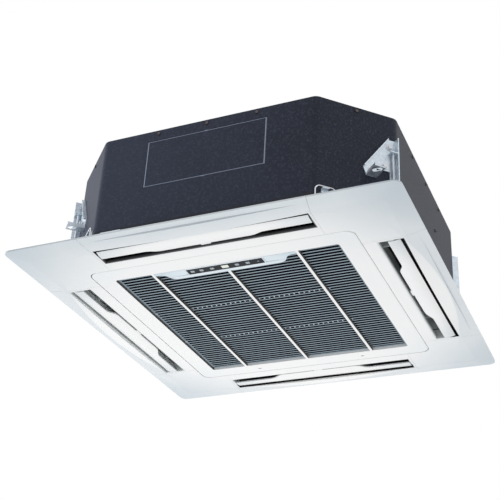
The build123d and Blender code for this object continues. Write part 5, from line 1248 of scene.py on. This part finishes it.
@dataclass
class AirWorks:
    """Fan, motor, coil, pipes and drain parts inside the casing."""

    board_thick: float = 1.7 * MM

    def build(self) -> None:
        """Gives every inside node its finish."""
        dress(Palette.MOTOR, "fan_motor", "louvre_motors")
        dress(Palette.RUBBER, "motor_mounts")
        dress(Palette.ZINC_SCREW, "motor_bolts", "fan_nut")
        dress(Palette.BEARING, "motor_bearings")
        dress(Palette.SHAFT, "motor_shaft")
        dress(Palette.FAN, "turbo_fan")
        dress(Palette.BELL, "bell_mouth")
        dress(Palette.FINS, "coil_fins")
        dress(Palette.ZINC_SHEET, "coil_end_plates", "pump_bracket")
        dress(Palette.ZINC_SHEET, "electrical_box", "electrical_box_lid")
        dress(Palette.COPPER, "coil_return_bends", "suction_header", "gas_pipe", "liquid_pipe")
        dress(Palette.BRASS, "pipe_unions")
        dress(Palette.PUMP, "drain_pump", "float_switch")
        dress(Palette.FLOAT, "float")
        dress(Palette.HOSE, "drain_hose")
        dress(Palette.TERMINAL, "terminal_block")
        dress_board("control_board", self.board_thick)


@dataclass
class Panel:
    """White ceiling panel with its covers, ducts, louvres and hooks."""

    sides: tuple[str, ...] = ("front", "right", "back", "left")

    def build(self) -> None:
        """Gives every node of the panel its finish."""
        dress(Palette.PANEL, "panel_frame", "corner_covers")
        dress(Palette.LOUVRE, *(f"louvre_{side}" for side in self.sides))
        dress(Palette.DUCT, "outlet_ducts")
        dress(Palette.SEAL, "duct_seals")
        dress(Palette.GLAND, "louvre_bushes")
        dress(Palette.WIRE, "panel_hook_left", "panel_hook_right")


@dataclass
class Grille:
    """Swinging intake grille with its slats, filter, latches and display."""

    mark_places: tuple[float, ...] = (-0.083, -0.06, -0.033, 0.03, 0.057)
    mark_size: Pair = (0.0095, 0.0085)
    lit_size: Pair = (0.017, 0.012)
    mark_thick: float = 0.12 * MM
    mark_corner: float = 1.2 * MM
    board_thick: float = 1.7 * MM

    def dress(self) -> None:
        """Gives every node of the grille its finish."""
        dress(Palette.GRILLE, "grille_frame", "latch_left", "latch_right")
        dress(Palette.SLATS, "grille_slats")
        dress(Palette.FILTER, "air_filter")
        dress(Palette.WING, "display_bezel")
        dress(Palette.STRIP, "display_window")
        dress(Palette.BUTTON, "manual_button")
        dress(Palette.SHAFT, "grille_hinge_pins")
        dress_board("display_board", self.board_thick)

    def marks(self, name: str, places: Iterable[float], size: Pair, finish: Palette) -> None:
        """Makes lens marks in the display strip.

        Args:
            name: name of the piece.
            places: where the marks stand along X.
            size: width and depth of one mark.
            finish: what they get.
        """
        low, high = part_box("display_window")
        mesh = bmesh.new()
        for x in places:
            place = Matrix.Translation((x, (low.y + high.y) / 2, low.z - self.mark_thick / 2))
            rounded_plate(mesh, size, self.mark_thick, self.mark_corner, place)
        add_piece(name, mesh, "grille", finish)

    def build(self) -> None:
        """Dresses the grille and adds the display's dull marks and the lit one."""
        self.dress()
        self.marks("display_marks", self.mark_places, self.mark_size, Palette.MARK)
        self.marks("display_lamp", (0.0,), self.lit_size, Palette.MARK_LIT)


# ---------------- studio
@dataclass(frozen=True)
class Lamp:
    """A square area lamp."""

    name: str
    place: Point
    size: float
    watts: float
    colour: Colour

    def hang(self, aim: Point) -> None:
        """Adds the lamp to the scene.

        Args:
            aim: what it points at.
        """
        data = bpy.data.lights.new(self.name, "AREA")
        data.size = self.size
        data.energy = self.watts
        data.color = self.colour
        lamp = bpy.data.objects.new(self.name, data)
        turn = (Vector(aim) - Vector(self.place)).to_track_quat("-Z", "Y").to_matrix().to_4x4()
        lamp.matrix_world = Matrix.Translation(self.place) @ turn
        bpy.context.scene.collection.objects.link(lamp)


@dataclass
class Studio:
    """Camera, floor, world and lamps."""

    eye: Point = (0.91955, -2.14081, -1.15890)
    turn: Point = (-0.34514118895147117, 1.3936811731683287, 2.4262413099846576)
    sensor: float = 36.0
    focal: float = 1029.0
    picture: float = 500.0
    sight: float = 60.0
    floor_z: float = -3.2
    floor_half: float = 6.0
    world_light: float = 0.7
    centre: Point = (0.0, 0.0, 0.1)
    lamps: tuple[Lamp, ...] = (
        Lamp("below", (-0.9, 0.9, -2.3), 1.6, 23.0, (1.0, 0.995, 0.98)),
        Lamp("side", (-3.0, -0.6, 0.2), 1.6, 34.0, (0.86, 0.93, 1.0)),
        Lamp("right", (3.0, 1.0, 0.2), 1.4, 10.0, (0.9, 0.95, 1.0)),
        Lamp("top", (-0.6, 1.2, 3.0), 2.0, 30.0, (1.0, 1.0, 1.0)),
    )

    def camera(self) -> None:
        """Camera at the photograph's place, looking up at the unit."""
        data = bpy.data.cameras.new("camera")
        data.sensor_width = self.sensor
        data.lens = self.sensor * self.focal / self.picture
        data.clip_end = self.sight
        camera = bpy.data.objects.new("camera", data)
        bpy.context.scene.collection.objects.link(camera)
        axis = Vector(self.turn)
        turn = Matrix.Rotation(axis.length, 3, axis.normalized())
        aim = Matrix((-turn[0], turn[1], -turn[2])).transposed().to_4x4()
        camera.matrix_world = Matrix.Translation(self.eye) @ aim
        bpy.context.scene.camera = camera

    def floor(self) -> None:
        """Pale floor well below the unit."""
        mesh = bmesh.new()
        bmesh.ops.create_grid(mesh, x_segments=1, y_segments=1, size=self.floor_half)
        data = bpy.data.meshes.new("floor")
        mesh.to_mesh(data)
        mesh.free()
        data.materials.append(Palette.FLOOR.material)
        floor = bpy.data.objects.new("floor", data)
        floor.location.z = self.floor_z
        bpy.context.scene.collection.objects.link(floor)

    def world(self) -> None:
        """White surroundings, at full strength where the camera or a reflection looks."""
        world = bpy.data.worlds.new("studio")
        bpy.context.scene.world = world
        world.use_nodes = True
        nodes = Nodes(world.node_tree, "ShaderNodeOutputWorld")
        strength = nodes.seen() * (1.0 - self.world_light) + self.world_light
        inputs = {"Color": WHITE, "Strength": strength}
        nodes.show(nodes.node("ShaderNodeBackground", None, inputs))

    def build(self) -> None:
        """Sets the whole studio up."""
        bpy.context.scene.view_settings.view_transform = "Standard"
        self.camera()
        self.floor()
        self.world()
        for lamp in self.lamps:
            lamp.hang(self.centre)


def main() -> None:
    """Builds every sub-assembly and the studio."""
    logging.basicConfig(level=logging.INFO, format="%(name)s: %(message)s")
    for part in (Casing(), AirWorks(), Panel(), Grille()):
        part.build()
    Studio().build()


if __name__ == "__main__":
    main()
